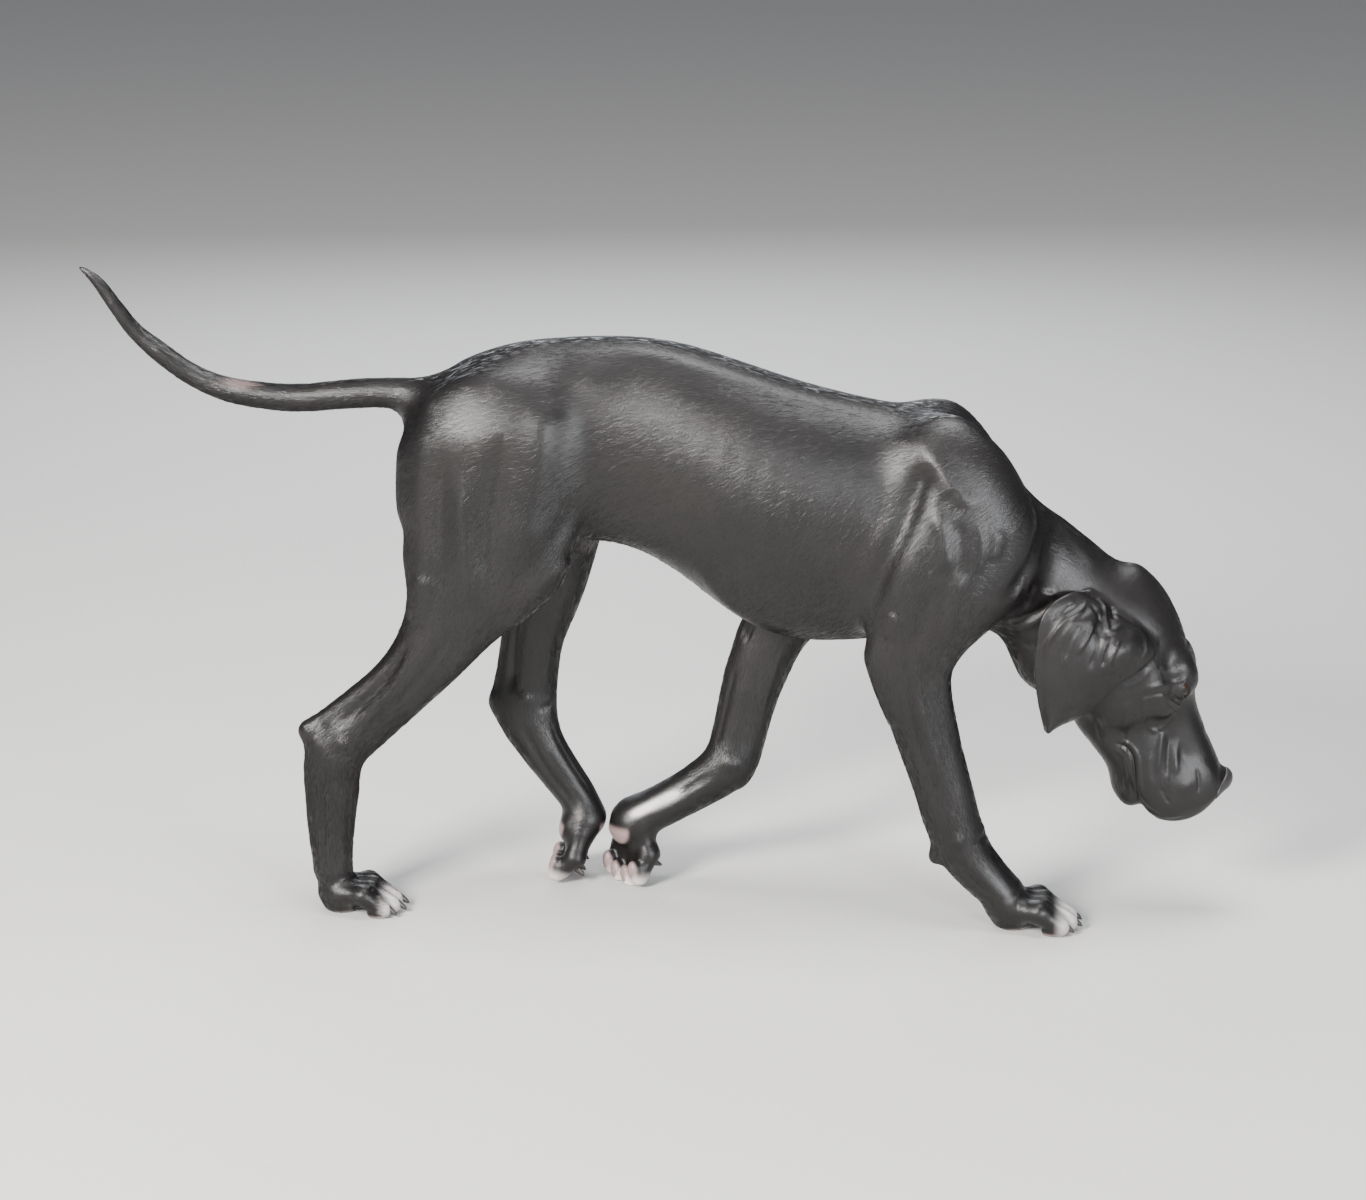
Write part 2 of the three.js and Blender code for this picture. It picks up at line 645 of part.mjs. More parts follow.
// Where each leg leaves the body, and the cuts between its pieces.
const THIGH_OUTLINE = [[-420, 470], [-74, 470], [-80, 540], [-130, 640], [-205, 694], [-300, 688], [-420, 640]];
const HIND_OUTLINE = [[-620, -60], [-60, -60], [-74, 452], [-112, 480], [-620, 480]];
const SHOULDERS = {
  fore_right: [[204, 330], [212, 430], [266, 590], [292, 640], [350, 640], [440, 540], [445, 400], [390, 330]],
  fore_left: [[44, 322], [58, 440], [270, 630], [350, 640], [440, 540], [445, 400], [330, 335], [200, 312]],
};
const FOREARM_OUTLINES = {
  fore_right: [[200, -60], [430, -60], [430, 343], [200, 343]],
  fore_left: [[-60, -60], [200, -60], [200, 301], [115, 338], [-60, 414]],
};
const joints = {
  hind_right: [
    cut([-270, 0, 410], [-0.49, 0, -0.87]),
    cut([-408, 0, 238], [-0.72, 0, -0.69]),
    cut([-438, 0, 74], [0, 0, -1]),
  ],
  hind_left: [
    cut([-182, 0, 395], [-0.1, 0, -0.99]),
    cut([-204, 0, 248], [-0.15, 0, -0.99]),
    cut([-140, 0, 106], [0.6, 0, -0.8]),
  ],
  fore_right: [
    cut([286, 0, 343], [0, 0, -1]),
    cut([352, 0, 110], [0.35, 0, -0.94]),
  ],
  fore_left: [
    cut([115, 0, 338], [-0.4, 0, -0.917]),
    cut([45, 0, 152], [-0.8, 0, -0.6]),
  ],
};

function legCutter(name, grow) {
  const { side } = legs[name];
  if (name.startsWith("hind")) {
    const upper = prism(THIGH_OUTLINE, side, THIGH_INSIDE, LEG_OUTSIDE, grow);
    return upper.add(prism(HIND_OUTLINE, side, LEG_INSIDE, LEG_OUTSIDE, grow));
  }
  return prism(SHOULDERS[name], side, SHOULDER_INSIDE, LEG_OUTSIDE, grow);
}

// The skinning grid of each piece: its frame, its box there and its cell.
function grid(origin, pitch, low, high, cell) {
  const frame = new THREE.Matrix4()
    .makeRotationY(THREE.MathUtils.degToRad(pitch))
    .setPosition(...origin);
  return { frame, low, high, cell };
}

function pawGrid(name, low, high) {
  return { frame: legs[name].paw, low, high, cell: PAW_CELL };
}

const grids = {
  torso: grid([0, 0, 0], 0, [-390, -150, 300], [480, 150, 770], [38, 26, 27]),
  neck: grid([430, 0, 450], 42, [-140, -105, -170], [150, 105, 170], [25, 21, 22]),
  head: { frame: headFrame, low: [-60, -95, -190], high: [350, 95, 75], cell: [15.5, 13, 13] },
  nose: { frame: headFrame, low: [262, -42, -36], high: [332, 42, 46], cell: [8, 8, 8] },
  tail_root: grid([-420, 0, 650], 0, [-140, -60, -60], [140, 60, 60], [36, 12, 12]),
  tail_tip: grid([-630, 0, 720], 47, [-170, -50, -60], [170, 50, 60], [24, 9.5, 9.5]),
  hind_right_thigh: grid([-250, -100, 520], 0, [-160, -70, -200], [220, 110, 220], [26, 21, 26]),
  hind_right_shank: grid([-340, -73, 315], 132, [-150, -65, -110], [150, 65, 110], [30, 14, 15]),
  hind_right_hock: grid([-440, -75, 160], 90, [-125, -50, -70], [125, 50, 70], [24, 12, 13]),
  hind_right_paw: pawGrid("hind_right", [-70, -56, -40], [125, 56, 100]),
  hind_left_thigh: grid([-215, 100, 520], 0, [-160, -110, -200], [190, 70, 220], [26, 21, 26]),
  hind_left_shank: grid([-195, 82, 320], 95, [-130, -65, -110], [130, 65, 110], [30, 14, 15]),
  hind_left_hock: grid([-180, 72, 180], 55, [-150, -50, -90], [120, 50, 70], [24, 12, 13]),
  hind_left_paw: pawGrid("hind_left", [-75, -56, -40], [125, 56, 90]),
  fore_right_shoulder: grid([335, -110, 490], 0, [-190, -70, -190], [160, 90, 190], [28, 19, 28]),
  fore_right_forearm: grid([315, -80, 230], 76, [-160, -55, -90], [160, 55, 90], [30, 13, 14]),
  fore_right_paw: pawGrid("fore_right", [-130, -62, -40], [130, 62, 150]),
  fore_left_shoulder: grid([260, 110, 480], 0, [-260, -90, -200], [210, 70, 190], [28, 19, 28]),
  fore_left_forearm: grid([85, 75, 250], 105, [-150, -55, -90], [150, 55, 90], [30, 13, 14]),
  fore_left_paw: pawGrid("fore_left", [-120, -125, -50], [125, 64, 180]),
};

// Builds a leg's pieces in order down the leg, each between its cuts.
function legPieces(name, pieceNames) {
  const leg = legs[name];
  const forms = [...trunkForms, ...neckForms, ...leg.forms];
  const body = legCutter(name, 0);
  return pieceNames.map((pieceName, i) => {
    let solid = skin(i === 0 ? forms : leg.forms, grids[`${name}_${pieceName}`]);
    if (i === 0) solid = solid.intersect(body);
    if (i > 0) solid = joints[name][i - 1].beyond(solid);
    if (i < pieceNames.length - 1) solid = joints[name][i].before(solid);
    return { name: `${name}_${pieceName}`, solid: largest(floor.beyond(solid)) };
  });
}

// A claw, bent from a tapered cylinder, with its root in the toe.
function clawSolid(leg, toe, grow) {
  const length = CLAW_LENGTH + 2 * grow;
  const geometry = new THREE.CylinderGeometry(CLAW_TIP_RADIUS + grow, CLAW_RADIUS + grow, length, 6, 2);
  const place = geometry.attributes.position;
  for (let i = 0; i < place.count; i += 1) {
    const share = (place.getY(i) + length / 2) / length;
    place.setX(i, place.getX(i) + CLAW_BEND * share * share);
  }
  const [root, tip] = leg.claw.map(([forward, up], end) =>
    new THREE.Vector3(forward * toe.length, (1.05 + 0.05 * end) * toe.across, up).multiplyScalar(leg.size));
  const along = tip.clone().sub(root).normalize();
  const under = new THREE.Vector3(along.z, 0, -along.x).normalize();
  const across = under.clone().cross(along).normalize();
  const middle = root.clone().addScaledVector(along, CLAW_LENGTH / 2);
  const own = new THREE.Matrix4().makeBasis(under, along, across).setPosition(middle);
  return solidOf(geometry, leg.paw.clone().multiply(own));
}

// The ear: a folded sheet from its rear edge to its front edge, and from root to tip.
const EAR_REAR = [[505, 428], [476, 430], [448, 408], [440, 350], [445, 302], [454, 260]];
const EAR_FRONT = [[572, 388], [584, 366], [566, 342], [534, 316], [506, 284], [461, 260]];
const EAR_OUT = [46, 68, 82, 84, 80, 74];

function earSolid(side) {
  const rear = new THREE.CatmullRomCurve3(EAR_REAR.map(([x, z], i) => new THREE.Vector3(x, EAR_OUT[i] - 2, z)));
  const front = new THREE.CatmullRomCurve3(EAR_FRONT.map(([x, z], i) => new THREE.Vector3(x, EAR_OUT[i] - 8, z)));
  const [rows, columns] = [9, 6];
  const middle = [];
  for (let i = 0; i <= rows; i += 1) {
    for (let j = 0; j <= columns; j += 1) {
      const [along, across] = [i / rows, j / columns];
      const point = rear.getPoint(along).lerp(front.getPoint(along), across);
      const bulge = Math.sin(Math.PI * across);
      point.y += 14 * bulge * Math.min(1, 3 * along) - 10 * Math.max(0, across - 0.75) * 4 * (1 - along);
      middle.push(point);
    }
  }
  const at = (i, j) => middle[i * (columns + 1) + j];
  const normals = middle.map((_, n) => {
    const [i, j] = [Math.floor(n / (columns + 1)), n % (columns + 1)];
    const down = at(Math.min(i + 1, rows), j).clone().sub(at(Math.max(i - 1, 0), j));
    const over = at(i, Math.min(j + 1, columns)).clone().sub(at(i, Math.max(j - 1, 0)));
    return over.cross(down).normalize();
  });
  const half = (n, sign) => {
    const [i, j] = [Math.floor(n / (columns + 1)), n % (columns + 1)];
    const rim = i === rows || j === 0 || j === columns;
    const thick = (EAR_THICKNESS / 2) * (rim ? 0.45 : 1) * (1.5 - 0.7 * (i / rows));
    return middle[n].clone().addScaledVector(normals[n], sign * thick);
  };
  const points = [...middle.map((_, n) => half(n, 1)), ...middle.map((_, n) => half(n, -1))];
  const triangles = [];
  const quad = (a, b, c, d) => triangles.push(a, b, c, a, c, d);
  const back = middle.length;
  for (let i = 0; i < rows; i += 1) {
    for (let j = 0; j < columns; j += 1) {
      const [a, b, c, d] = [[i, j], [i, j + 1], [i + 1, j + 1], [i + 1, j]].map(([r, s]) => r * (columns + 1) + s);
      triangles.push(a, b, c, a, c, d);
      triangles.push(back + a, back + c, back + b, back + a, back + d, back + c);
    }
  }
  const rim = [];
  for (let j = 0; j < columns; j += 1) rim.push(j);
  for (let i = 0; i < rows; i += 1) rim.push(i * (columns + 1) + columns);
  for (let j = columns; j > 0; j -= 1) rim.push(rows * (columns + 1) + j);
  for (let i = rows; i > 0; i -= 1) rim.push(i * (columns + 1));
  rim.forEach((a, n) => {
    const b = rim[(n + 1) % rim.length];
    quad(b, a, back + a, back + b);
  });
  if (side < 0) {
    points.forEach((point) => point.setY(-point.y));
    triangles.reverse();
  }
  const solid = toSolid(new Float32Array(points.flatMap((point) => point.toArray())), new Uint32Array(triangles));
  return solid;
}

// Eyes, lids, the line of the mouth and the nostrils.
const EYE_PLACE = [148, 26, 6];
const EYE_FACING = [0.42, 0.82, 0.38];
const EYE_STANDS_OUT = 3.4;

function sideOfHead([x, y, z], side) {
  return new THREE.Vector3(x, side * y, z);
}

// An eye's centre in the head's frame, so deep that the ball stands out of the head by a set amount.
function eyeCentre(side) {
  const start = sideOfHead(EYE_PLACE, side).applyMatrix4(headFrame);
  const facing = sideOfHead(EYE_FACING, side).normalize();
  const outward = facing.clone().transformDirection(headFrame);
  const rim = surfaceAlong(headForms, start, outward).applyMatrix4(headFrame.clone().invert());
  return rim.addScaledVector(facing, EYE_STANDS_OUT - EYE_RADIUS);
}

function eyeSolid(side, grow) {
  const geometry = new THREE.SphereGeometry(EYE_RADIUS + grow, 12, 8);
  return solidOf(geometry, headFrame.clone().multiply(new THREE.Matrix4().setPosition(eyeCentre(side))));
}

// A round bar along a curve. A closed curve gives a ring.
function bar(curve, radius, steps, sides = 6) {
  const section = new THREE.Shape();
  for (let i = 0; i < sides; i += 1) {
    const angle = (2 * Math.PI * i) / sides;
    const point = [radius * Math.cos(angle), radius * Math.sin(angle)];
    if (i === 0) section.moveTo(...point);
    else section.lineTo(...point);
  }
  return new THREE.ExtrudeGeometry(section, { steps, extrudePath: curve, bevelEnabled: false });
}

function lidSolids(side) {
  const facing = sideOfHead(EYE_FACING, side).normalize();
  const corner = new THREE.Vector3(1, 0, -0.25).addScaledVector(facing, -facing.x + 0.25 * facing.z).normalize();
  const upward = corner.clone().cross(facing).multiplyScalar(side).normalize();
  const centre = eyeCentre(side);
  const lid = (height) => {
    const points = [];
    for (let i = 0; i <= 6; i += 1) {
      const angle = Math.PI * (i / 6);
      const point = corner.clone().multiplyScalar(13 * Math.cos(angle));
      point.addScaledVector(upward, height * Math.sin(angle));
      const depth = Math.sqrt(Math.max((EYE_RADIUS + 1) ** 2 - point.lengthSq(), 0));
      points.push(point.addScaledVector(facing, depth + 0.4).add(centre));
    }
    return solidOf(bar(new THREE.CatmullRomCurve3(points), LID_RADIUS, 8, 5), headFrame);
  };
  return lid(7.5).add(lid(-6.5));
}

const MOUTH = [[158, -66], [180, -72], [205, -78], [232, -84], [258, -91], [276, -98]];

function mouthSolid(side) {
  const outward = new THREE.Vector3(0, side, 0);
  const inverse = headFrame.clone().invert();
  const points = MOUTH.map(([x, z]) => {
    const start = new THREE.Vector3(x, 0, z).applyMatrix4(headFrame);
    return surfaceAlong(headForms, start, outward).applyMatrix4(inverse);
  });
  return solidOf(bar(new THREE.CatmullRomCurve3(points), LIP_GROOVE, 9, 5), headFrame);
}

function nostrilSolid(side) {
  const points = [[316, 8, 2], [309, 11, 5], [303, 18, 2], [301, 25, -6]].map((point) => sideOfHead(point, side));
  return solidOf(bar(new THREE.CatmullRomCurve3(points), 3.6, 6), headFrame);
}

const NOSE_OUTLINE = [[284, -11], [340, -11], [340, 60], [278, 60]];

function noseCutter(grow) {
  const both = prism(NOSE_OUTLINE, LEFT, -60, 60, grow);
  return both.transform(headFrame.elements);
}

// Materials.
const coat = { color: 0x1d1b1c, roughness: 0.42, metalness: 0 };
const earCoat = { color: 0x191718, roughness: 0.5, metalness: 0 };
const leather = { color: 0x2b2a2c, roughness: 0.38, metalness: 0 };
const eyeball = { color: 0x1c120c, roughness: 0.08, metalness: 0 };
const horn = { color: 0x37322f, roughness: 0.45, metalness: 0 };

const group = new THREE.Group();
group.position.x = -BOX_CENTRE_X;

function place(name, solid, look) {
  const mesh = new THREE.Mesh(geometryOf(solid), new THREE.MeshStandardMaterial(look));
  mesh.name = name;
  group.add(mesh);
}

// The pieces.
const bodyForms = [...trunkForms, ...neckForms];
const allForms = [...bodyForms, ...tailForms, ...Object.values(legs).flatMap((leg) => leg.forms)];
const legNames = Object.keys(legs);
const TAIL_OUTLINE = [[-560, 540], [-322, 615], [-322, 760], [-560, 760]];

let torso = collar.before(skin(allForms, grids.torso));
for (const name of legNames) {
  torso = torso.subtract(legCutter(name, GAP));
}
for (const [name, outline] of Object.entries(FOREARM_OUTLINES)) {
  torso = torso.subtract(prism(outline, legs[name].side, LEG_INSIDE, LEG_OUTSIDE, GAP));
}
const tailCutter = (grow) => prism(TAIL_OUTLINE, LEFT, -TAIL_CUT, TAIL_CUT, grow);
place("torso", largest(torso.subtract(tailCutter(GAP))), coat);

const tailField = [...trunkForms, ...tailForms];
const tailRoot = skin(tailField, grids.tail_root).intersect(tailCutter(0));
place("tail_root", largest(tailMiddle.before(tailRoot)), coat);
place("tail_tip", largest(tailMiddle.beyond(skin(tailForms, grids.tail_tip))), coat);

const neckField = [...allForms, ...headForms];
let neck = nape.before(collar.beyond(skin(neckField, grids.neck)));
for (const name of ["fore_right", "fore_left"]) {
  neck = neck.subtract(legCutter(name, GAP));
}
place("neck", largest(neck), coat);

for (const name of legNames) {
  const pieceNames = name.startsWith("hind") ? ["thigh", "shank", "hock", "paw"] : ["shoulder", "forearm", "paw"];
  const pieces = legPieces(name, pieceNames);
  const leg = legs[name];
  const paw = pieces.at(-1);
  TOES.forEach((toe, i) => {
    place(`${name}_claw_${i + 1}`, clawSolid(leg, toe, 0), horn);
    paw.solid = paw.solid.subtract(clawSolid(leg, toe, GAP));
  });
  pieces.forEach((piece) => place(piece.name, largest(piece.solid), coat));
}

const headField = [...neckForms, ...headForms];
let head = nape.beyond(skin(headField, grids.head));
const headRoom = skin(headField, grids.head, GAP).add(skin(neckField, grids.neck, GAP));
for (const side of [RIGHT, LEFT]) {
  const label = side < 0 ? "right" : "left";
  head = head.add(lidSolids(side)).subtract(eyeSolid(side, GAP)).subtract(mouthSolid(side));
  place(`eye_${label}`, eyeSolid(side, 0), eyeball);
  place(`ear_${label}`, largest(earSolid(side).subtract(headRoom)), earCoat);
}
place("head", largest(head.subtract(noseCutter(GAP))), coat);

let nose = skin(headForms, grids.nose).intersect(noseCutter(0));
for (const side of [RIGHT, LEFT]) {
  nose = nose.subtract(nostrilSolid(side));
}
place("nose", largest(nose), leather);

export default group;
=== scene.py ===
# The looks of a young great dane, walking with its head low. One skin is grown from the same rounded
# forms as the solids, then modelled with strokes for muscles, tendons, veins and folds, and covered
# with short tufts that lie along the body. Lengths are millimetres until a mesh is made.
import json
import math

import bmesh
import bpy
import numpy as np
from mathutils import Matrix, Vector
from mathutils.bvhtree import BVHTree

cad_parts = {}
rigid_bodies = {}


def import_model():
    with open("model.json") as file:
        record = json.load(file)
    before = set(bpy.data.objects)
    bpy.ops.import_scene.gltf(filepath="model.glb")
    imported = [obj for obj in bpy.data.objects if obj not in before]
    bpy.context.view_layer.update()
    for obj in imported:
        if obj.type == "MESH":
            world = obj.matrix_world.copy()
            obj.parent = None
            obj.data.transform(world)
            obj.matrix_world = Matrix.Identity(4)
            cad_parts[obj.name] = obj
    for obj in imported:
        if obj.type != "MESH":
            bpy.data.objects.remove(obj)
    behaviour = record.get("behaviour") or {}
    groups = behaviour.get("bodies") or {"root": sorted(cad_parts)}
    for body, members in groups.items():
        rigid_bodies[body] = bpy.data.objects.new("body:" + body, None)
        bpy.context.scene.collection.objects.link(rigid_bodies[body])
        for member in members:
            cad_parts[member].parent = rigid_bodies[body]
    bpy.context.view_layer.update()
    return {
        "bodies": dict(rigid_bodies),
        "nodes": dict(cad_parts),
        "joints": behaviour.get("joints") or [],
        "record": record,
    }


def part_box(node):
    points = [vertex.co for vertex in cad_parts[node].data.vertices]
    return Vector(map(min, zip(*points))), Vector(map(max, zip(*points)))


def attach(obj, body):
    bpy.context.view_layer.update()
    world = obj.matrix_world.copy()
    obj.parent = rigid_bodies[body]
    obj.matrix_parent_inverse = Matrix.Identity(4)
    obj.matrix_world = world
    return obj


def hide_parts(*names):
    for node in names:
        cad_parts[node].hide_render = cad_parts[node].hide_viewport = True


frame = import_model()

MM = 0.001
SHIFT = np.array([27.8, 0.0, 0.0])  # from the frame of the tables below to the row's frame
RIGHT, LEFT = -1, 1
REACH = 70.0  # from a form's box, past which it doesn't count
FAR = 1000.0  # the distance where no form is near
COAT_DEPTH = 2.0  # of the body's coat, over the skin
FACE_DEPTH = 0.8
FLOOR_GAP = 0.3  # between the skin's lowest point and the floor
HEAD_START = 425  # x where the head and ears begin
FACE_START = 430  # x where the face begins, with no leg or chest beyond
EYE_RADIUS = 12.5
random = np.random.default_rng(11)

# Sizes, the same as the solids': along, top, bottom and half width, or a place and two radii.
NAPE = np.array([545.0, 0.0, 442.0])
HEAD_PITCH = math.radians(65)

TORSO = np.array([
    [-322, 662, 588, 28], [-300, 677, 560, 44], [-250, 708, 500, 67], [-200, 725, 480, 78],
    [-150, 731, 472, 79], [-100, 734, 470, 74], [-50, 733, 457, 76], [0, 726, 427, 83],
    [50, 711, 388, 92], [100, 694, 359, 99], [150, 678, 347, 101], [200, 666, 347, 98],
    [250, 656, 352, 92], [300, 644, 360, 84], [340, 625, 370, 74], [375, 592, 376, 62],
    [400, 552, 400, 48],
], float)
NECK = [
    [300, 0, 515, 116, 76], [350, 0, 492, 94, 68], [392, 0, 466, 84, 60],
    [440, 0, 430, 84, 54], [482, 0, 387, 88, 53], [505, 0, 355, 84, 53],
]
TAIL = [
    [-270, 0, 652, 26, 26], [-300, 0, 652, 24, 24], [-363, 0, 656, 21, 21],
    [-425, 0, 652, 19.5, 19.5], [-476, 0, 647, 19, 19], [-538, 0, 651, 18, 18],
    [-576, 0, 659, 16.5, 16.5], [-613, 0, 676, 15, 15], [-650, 0, 703, 14.5, 14.5],
    [-680, 0, 729, 12, 12], [-704, 0, 762, 11, 11], [-727, 0, 794, 9, 9], [-745, 0, 808, 6, 6],
]
# The legs from hip or shoulder to toes.
LEG_TABLES = {}
LEG_TABLES["hind_right"] = [
    [-250, -52, 600, 103, 44], [-242, -57, 540, 112, 46], [-236, -61, 491, 112, 45],
    [-260, -65, 435, 93, 41], [-283, -68, 385, 62, 36], [-313, -71, 338, 48, 32],
    [-350, -73, 294, 40, 26], [-392, -74, 252, 38, 23], [-430, -75, 212, 38, 25],
    [-437, -75, 150, 33, 24], [-439, -75, 96, 28, 22], [-438, -75, 55, 26, 24],
]
LEG_TABLES["hind_left"] = [
    [-228, 52, 600, 103, 44], [-200, 61, 530, 103, 45], [-185, 69, 470, 85, 42],
    [-180, 76, 410, 60, 36], [-187, 79, 360, 48, 31], [-196, 80, 320, 40, 27],
    [-202, 79, 270, 38, 24], [-206, 76, 225, 40, 24], [-190, 71, 180, 32, 23],
    [-165, 67, 143, 28, 22], [-137, 63, 104, 25, 22], [-126, 60, 84, 24, 24],
]
LEG_TABLES["fore_right"] = [
    [310, -46, 620, 50, 24], [345, -55, 560, 72, 35], [350, -64, 500, 85, 39],
    [325, -72, 440, 82, 39], [298, -77, 385, 62, 35], [286, -79, 345, 55, 32],
    [294, -80, 300, 45, 29], [311, -79, 243, 39, 27], [331, -78, 178, 36, 26],
    [347, -77, 122, 35, 28], [360, -76, 95, 33, 28], [385, -75, 65, 30, 28],
    [405, -75, 45, 27, 30],
]
LEG_TABLES["fore_left"] = [
    [300, 46, 620, 50, 24], [320, 55, 560, 70, 34], [310, 64, 500, 82, 38],
    [262, 72, 445, 78, 38], [195, 76, 405, 62, 35], [140, 77, 372, 50, 32],
    [112, 76, 335, 44, 29], [92, 73, 290, 41, 28], [78, 68, 240, 37, 26],
    [66, 63, 190, 35, 25], [55, 60, 160, 36, 28], [25, 58, 135, 31, 27],
    [-20, 55, 108, 29, 26], [-60, 55, 86, 29, 30],
]
MUZZLE = np.array([
    [130, 30, -70, 44], [165, 25, -78, 42], [195, 18, -84, 38],
    [230, 15, -88, 36], [270, 14, -90, 36], [300, 12, -84, 32],
], float)
LOWER_JAW = np.array([
    [100, -50, -128, 40], [156, -58, -131, 38], [188, -60, -124, 34],
    [220, -62, -118, 31], [252, -66, -121, 28], [270, -76, -116, 24],
], float)


# Forms.


def cubic(places, values, query):
    """A smooth curve through values at places, as the solids use it."""
    query = np.clip(query, places[0], places[-1])
    last = len(places) - 1
    i1 = np.clip(np.searchsorted(places, query, side="right"), 1, last)
    i0 = i1 - 1
    before = np.where(i1 >= 2, i1 - 2, i1)
    after = np.where(i1 < last, i1 + 1, i0)
    t0, t1 = places[i0], places[i1]
    half = (t1 - t0) / 2
    w_before = half / (t0 - places[before])
    w_after = half / (places[after] - t1)
    p = (query - t0) / (t1 - t0)
    p2, p3 = p * p, p * p * p
    weights = (
        (-w_before * p3 + 2 * w_before * p2 - w_before * p, before),
        ((1 + w_before) * p3 + (-1.5 - 2 * w_before) * p2 + (-0.5 + w_before) * p + 1, i0),
        ((-1 - w_after) * p3 + (1.5 + w_after) * p2 + 0.5 * p, i1),
        (w_after * p3 - w_after * p2, after),
    )
    return sum(weight[:, None] * values[index] for weight, index in weights)


def ellipse_distance(across, along, beyond, side, deep, cap):
    unit = np.sqrt((across / side) ** 2 + (along / deep) ** 2 + (beyond / cap) ** 2)
    slope = np.sqrt((across / side**2) ** 2 + (along / deep**2) ** 2 + (beyond / cap**2) ** 2)
    inner = -np.minimum(side, deep)
    return np.where(unit < 1e-6, inner, unit * (unit - 1) / np.maximum(slope, 1e-9))


def ramp(value, start, end):
    share = np.clip((value - start) / (end - start), 0, 1)
    return share * share * (3 - 2 * share)


class Form:
    """Something with a distance, a box, and how softly it joins what is there."""
    carve = False

    def bounds(self, low, high):
        self.low, self.high = np.array(low, float), np.array(high, float)

    def near(self, points, reach=REACH):
        return np.all((points > self.low - reach) & (points < self.high + reach), axis=1)


class Tube(Form):
    def __init__(self, stations, blend=24, step=14):
        stations = np.array(stations, float)
        self.blend = blend
        gaps = np.linalg.norm(np.diff(stations[:, :3], axis=0), axis=1)
        lengths = np.concatenate([[0], np.cumsum(gaps)])
        count = max(2, math.ceil(lengths[-1] / step))
        samples = cubic(lengths, stations, np.linspace(0, lengths[-1], count + 1))
        self.start, self.end = samples[:-1], samples[1:]
        reach = self.end[:, :3] - self.start[:, :3]
        self.length = np.linalg.norm(reach, axis=1)
        self.tangent = reach / self.length[:, None]
        flat = np.hypot(self.tangent[:, 0], self.tangent[:, 2])
        self.deep = np.stack([-self.tangent[:, 2] / flat, 0 * flat, self.tangent[:, 0] / flat], 1)
        self.side = np.cross(self.tangent, self.deep)
        self.begun = np.concatenate([[0], np.cumsum(self.length)[:-1]])
        widest = stations[:, 3:].max()
        self.bounds(samples[:, :3].min(0) - widest, samples[:, :3].max(0) + widest)

    def locate(self, points):
        """For each point: the nearest link, the place on it, and the point's offset from there."""
        best = np.full(len(points), np.inf)
        link = np.zeros(len(points), int)
        place = np.zeros(len(points))
        for n in range(len(self.length)):
            offset = points - self.start[n, :3]
            run = np.clip(offset @ self.tangent[n], 0, self.length[n])
            away = ((offset - run[:, None] * self.tangent[n]) ** 2).sum(1)
            closer = away < best
            best[closer] = away[closer]
            link[closer] = n
            place[closer] = run[closer]
        offset = points - self.start[link, :3] - place[:, None] * self.tangent[link]
        return link, place, offset

    def distance(self, points):
        link, place, offset = self.locate(points)
        share = (place / self.length[link])[:, None]
        radii = self.start[link, 3:] + (self.end[link, 3:] - self.start[link, 3:]) * share
        deep, side = radii[:, 0], radii[:, 1]
        across = (offset * self.side[link]).sum(1)
        along = (offset * self.deep[link]).sum(1)
        beyond = (offset * self.tangent[link]).sum(1)
        return ellipse_distance(across, along, beyond, side, deep, np.minimum(side, deep))

    def chart(self, points):
        """The run along the tube, the offsets across it both ways, and its direction."""
        link, place, offset = self.locate(points)
        across = (offset * self.side[link]).sum(1)
        along = (offset * self.deep[link]).sum(1)
        return self.begun[link] + place, across, along, self.tangent[link]


def capsule(a, b, radius_a, radius_b, blend=16):
    return Tube([[*a, radius_a, radius_a], [*b, radius_b, radius_b]], blend, 400)


def rotation_y(angle):
    c, s = math.cos(angle), math.sin(angle)
    return np.array([[c, 0, s], [0, 1, 0], [-s, 0, c]])


class Place:
    """A frame: columns of turn are its axes, origin its zero."""

    def __init__(self, turn=np.eye(3), origin=(0, 0, 0)):
        self.turn, self.origin = np.array(turn, float), np.array(origin, float)

    def out(self, points):
        return np.asarray(points, float) @ self.turn.T + self.origin

    def into(self, points):
        return (points - self.origin) @ self.turn

    def then(self, inner):
        return Place(self.turn @ inner.turn, self.out(inner.origin))


WORLD = Place()
HEAD = Place(rotation_y(HEAD_PITCH), NAPE)


class Ellipsoid(Form):
    def __init__(self, centre, radii, blend=30, pitch=0, frame=WORLD):
        self.place = frame.then(Place(rotation_y(math.radians(pitch)), centre))
        self.radii, self.blend = radii, blend
        middle = self.place.origin
        self.bounds(middle - max(radii), middle + max(radii))

    def distance(self, points):
        a, b, c = self.place.into(points).T
        return ellipse_distance(a, b, c, *[np.float64(r) for r in self.radii])


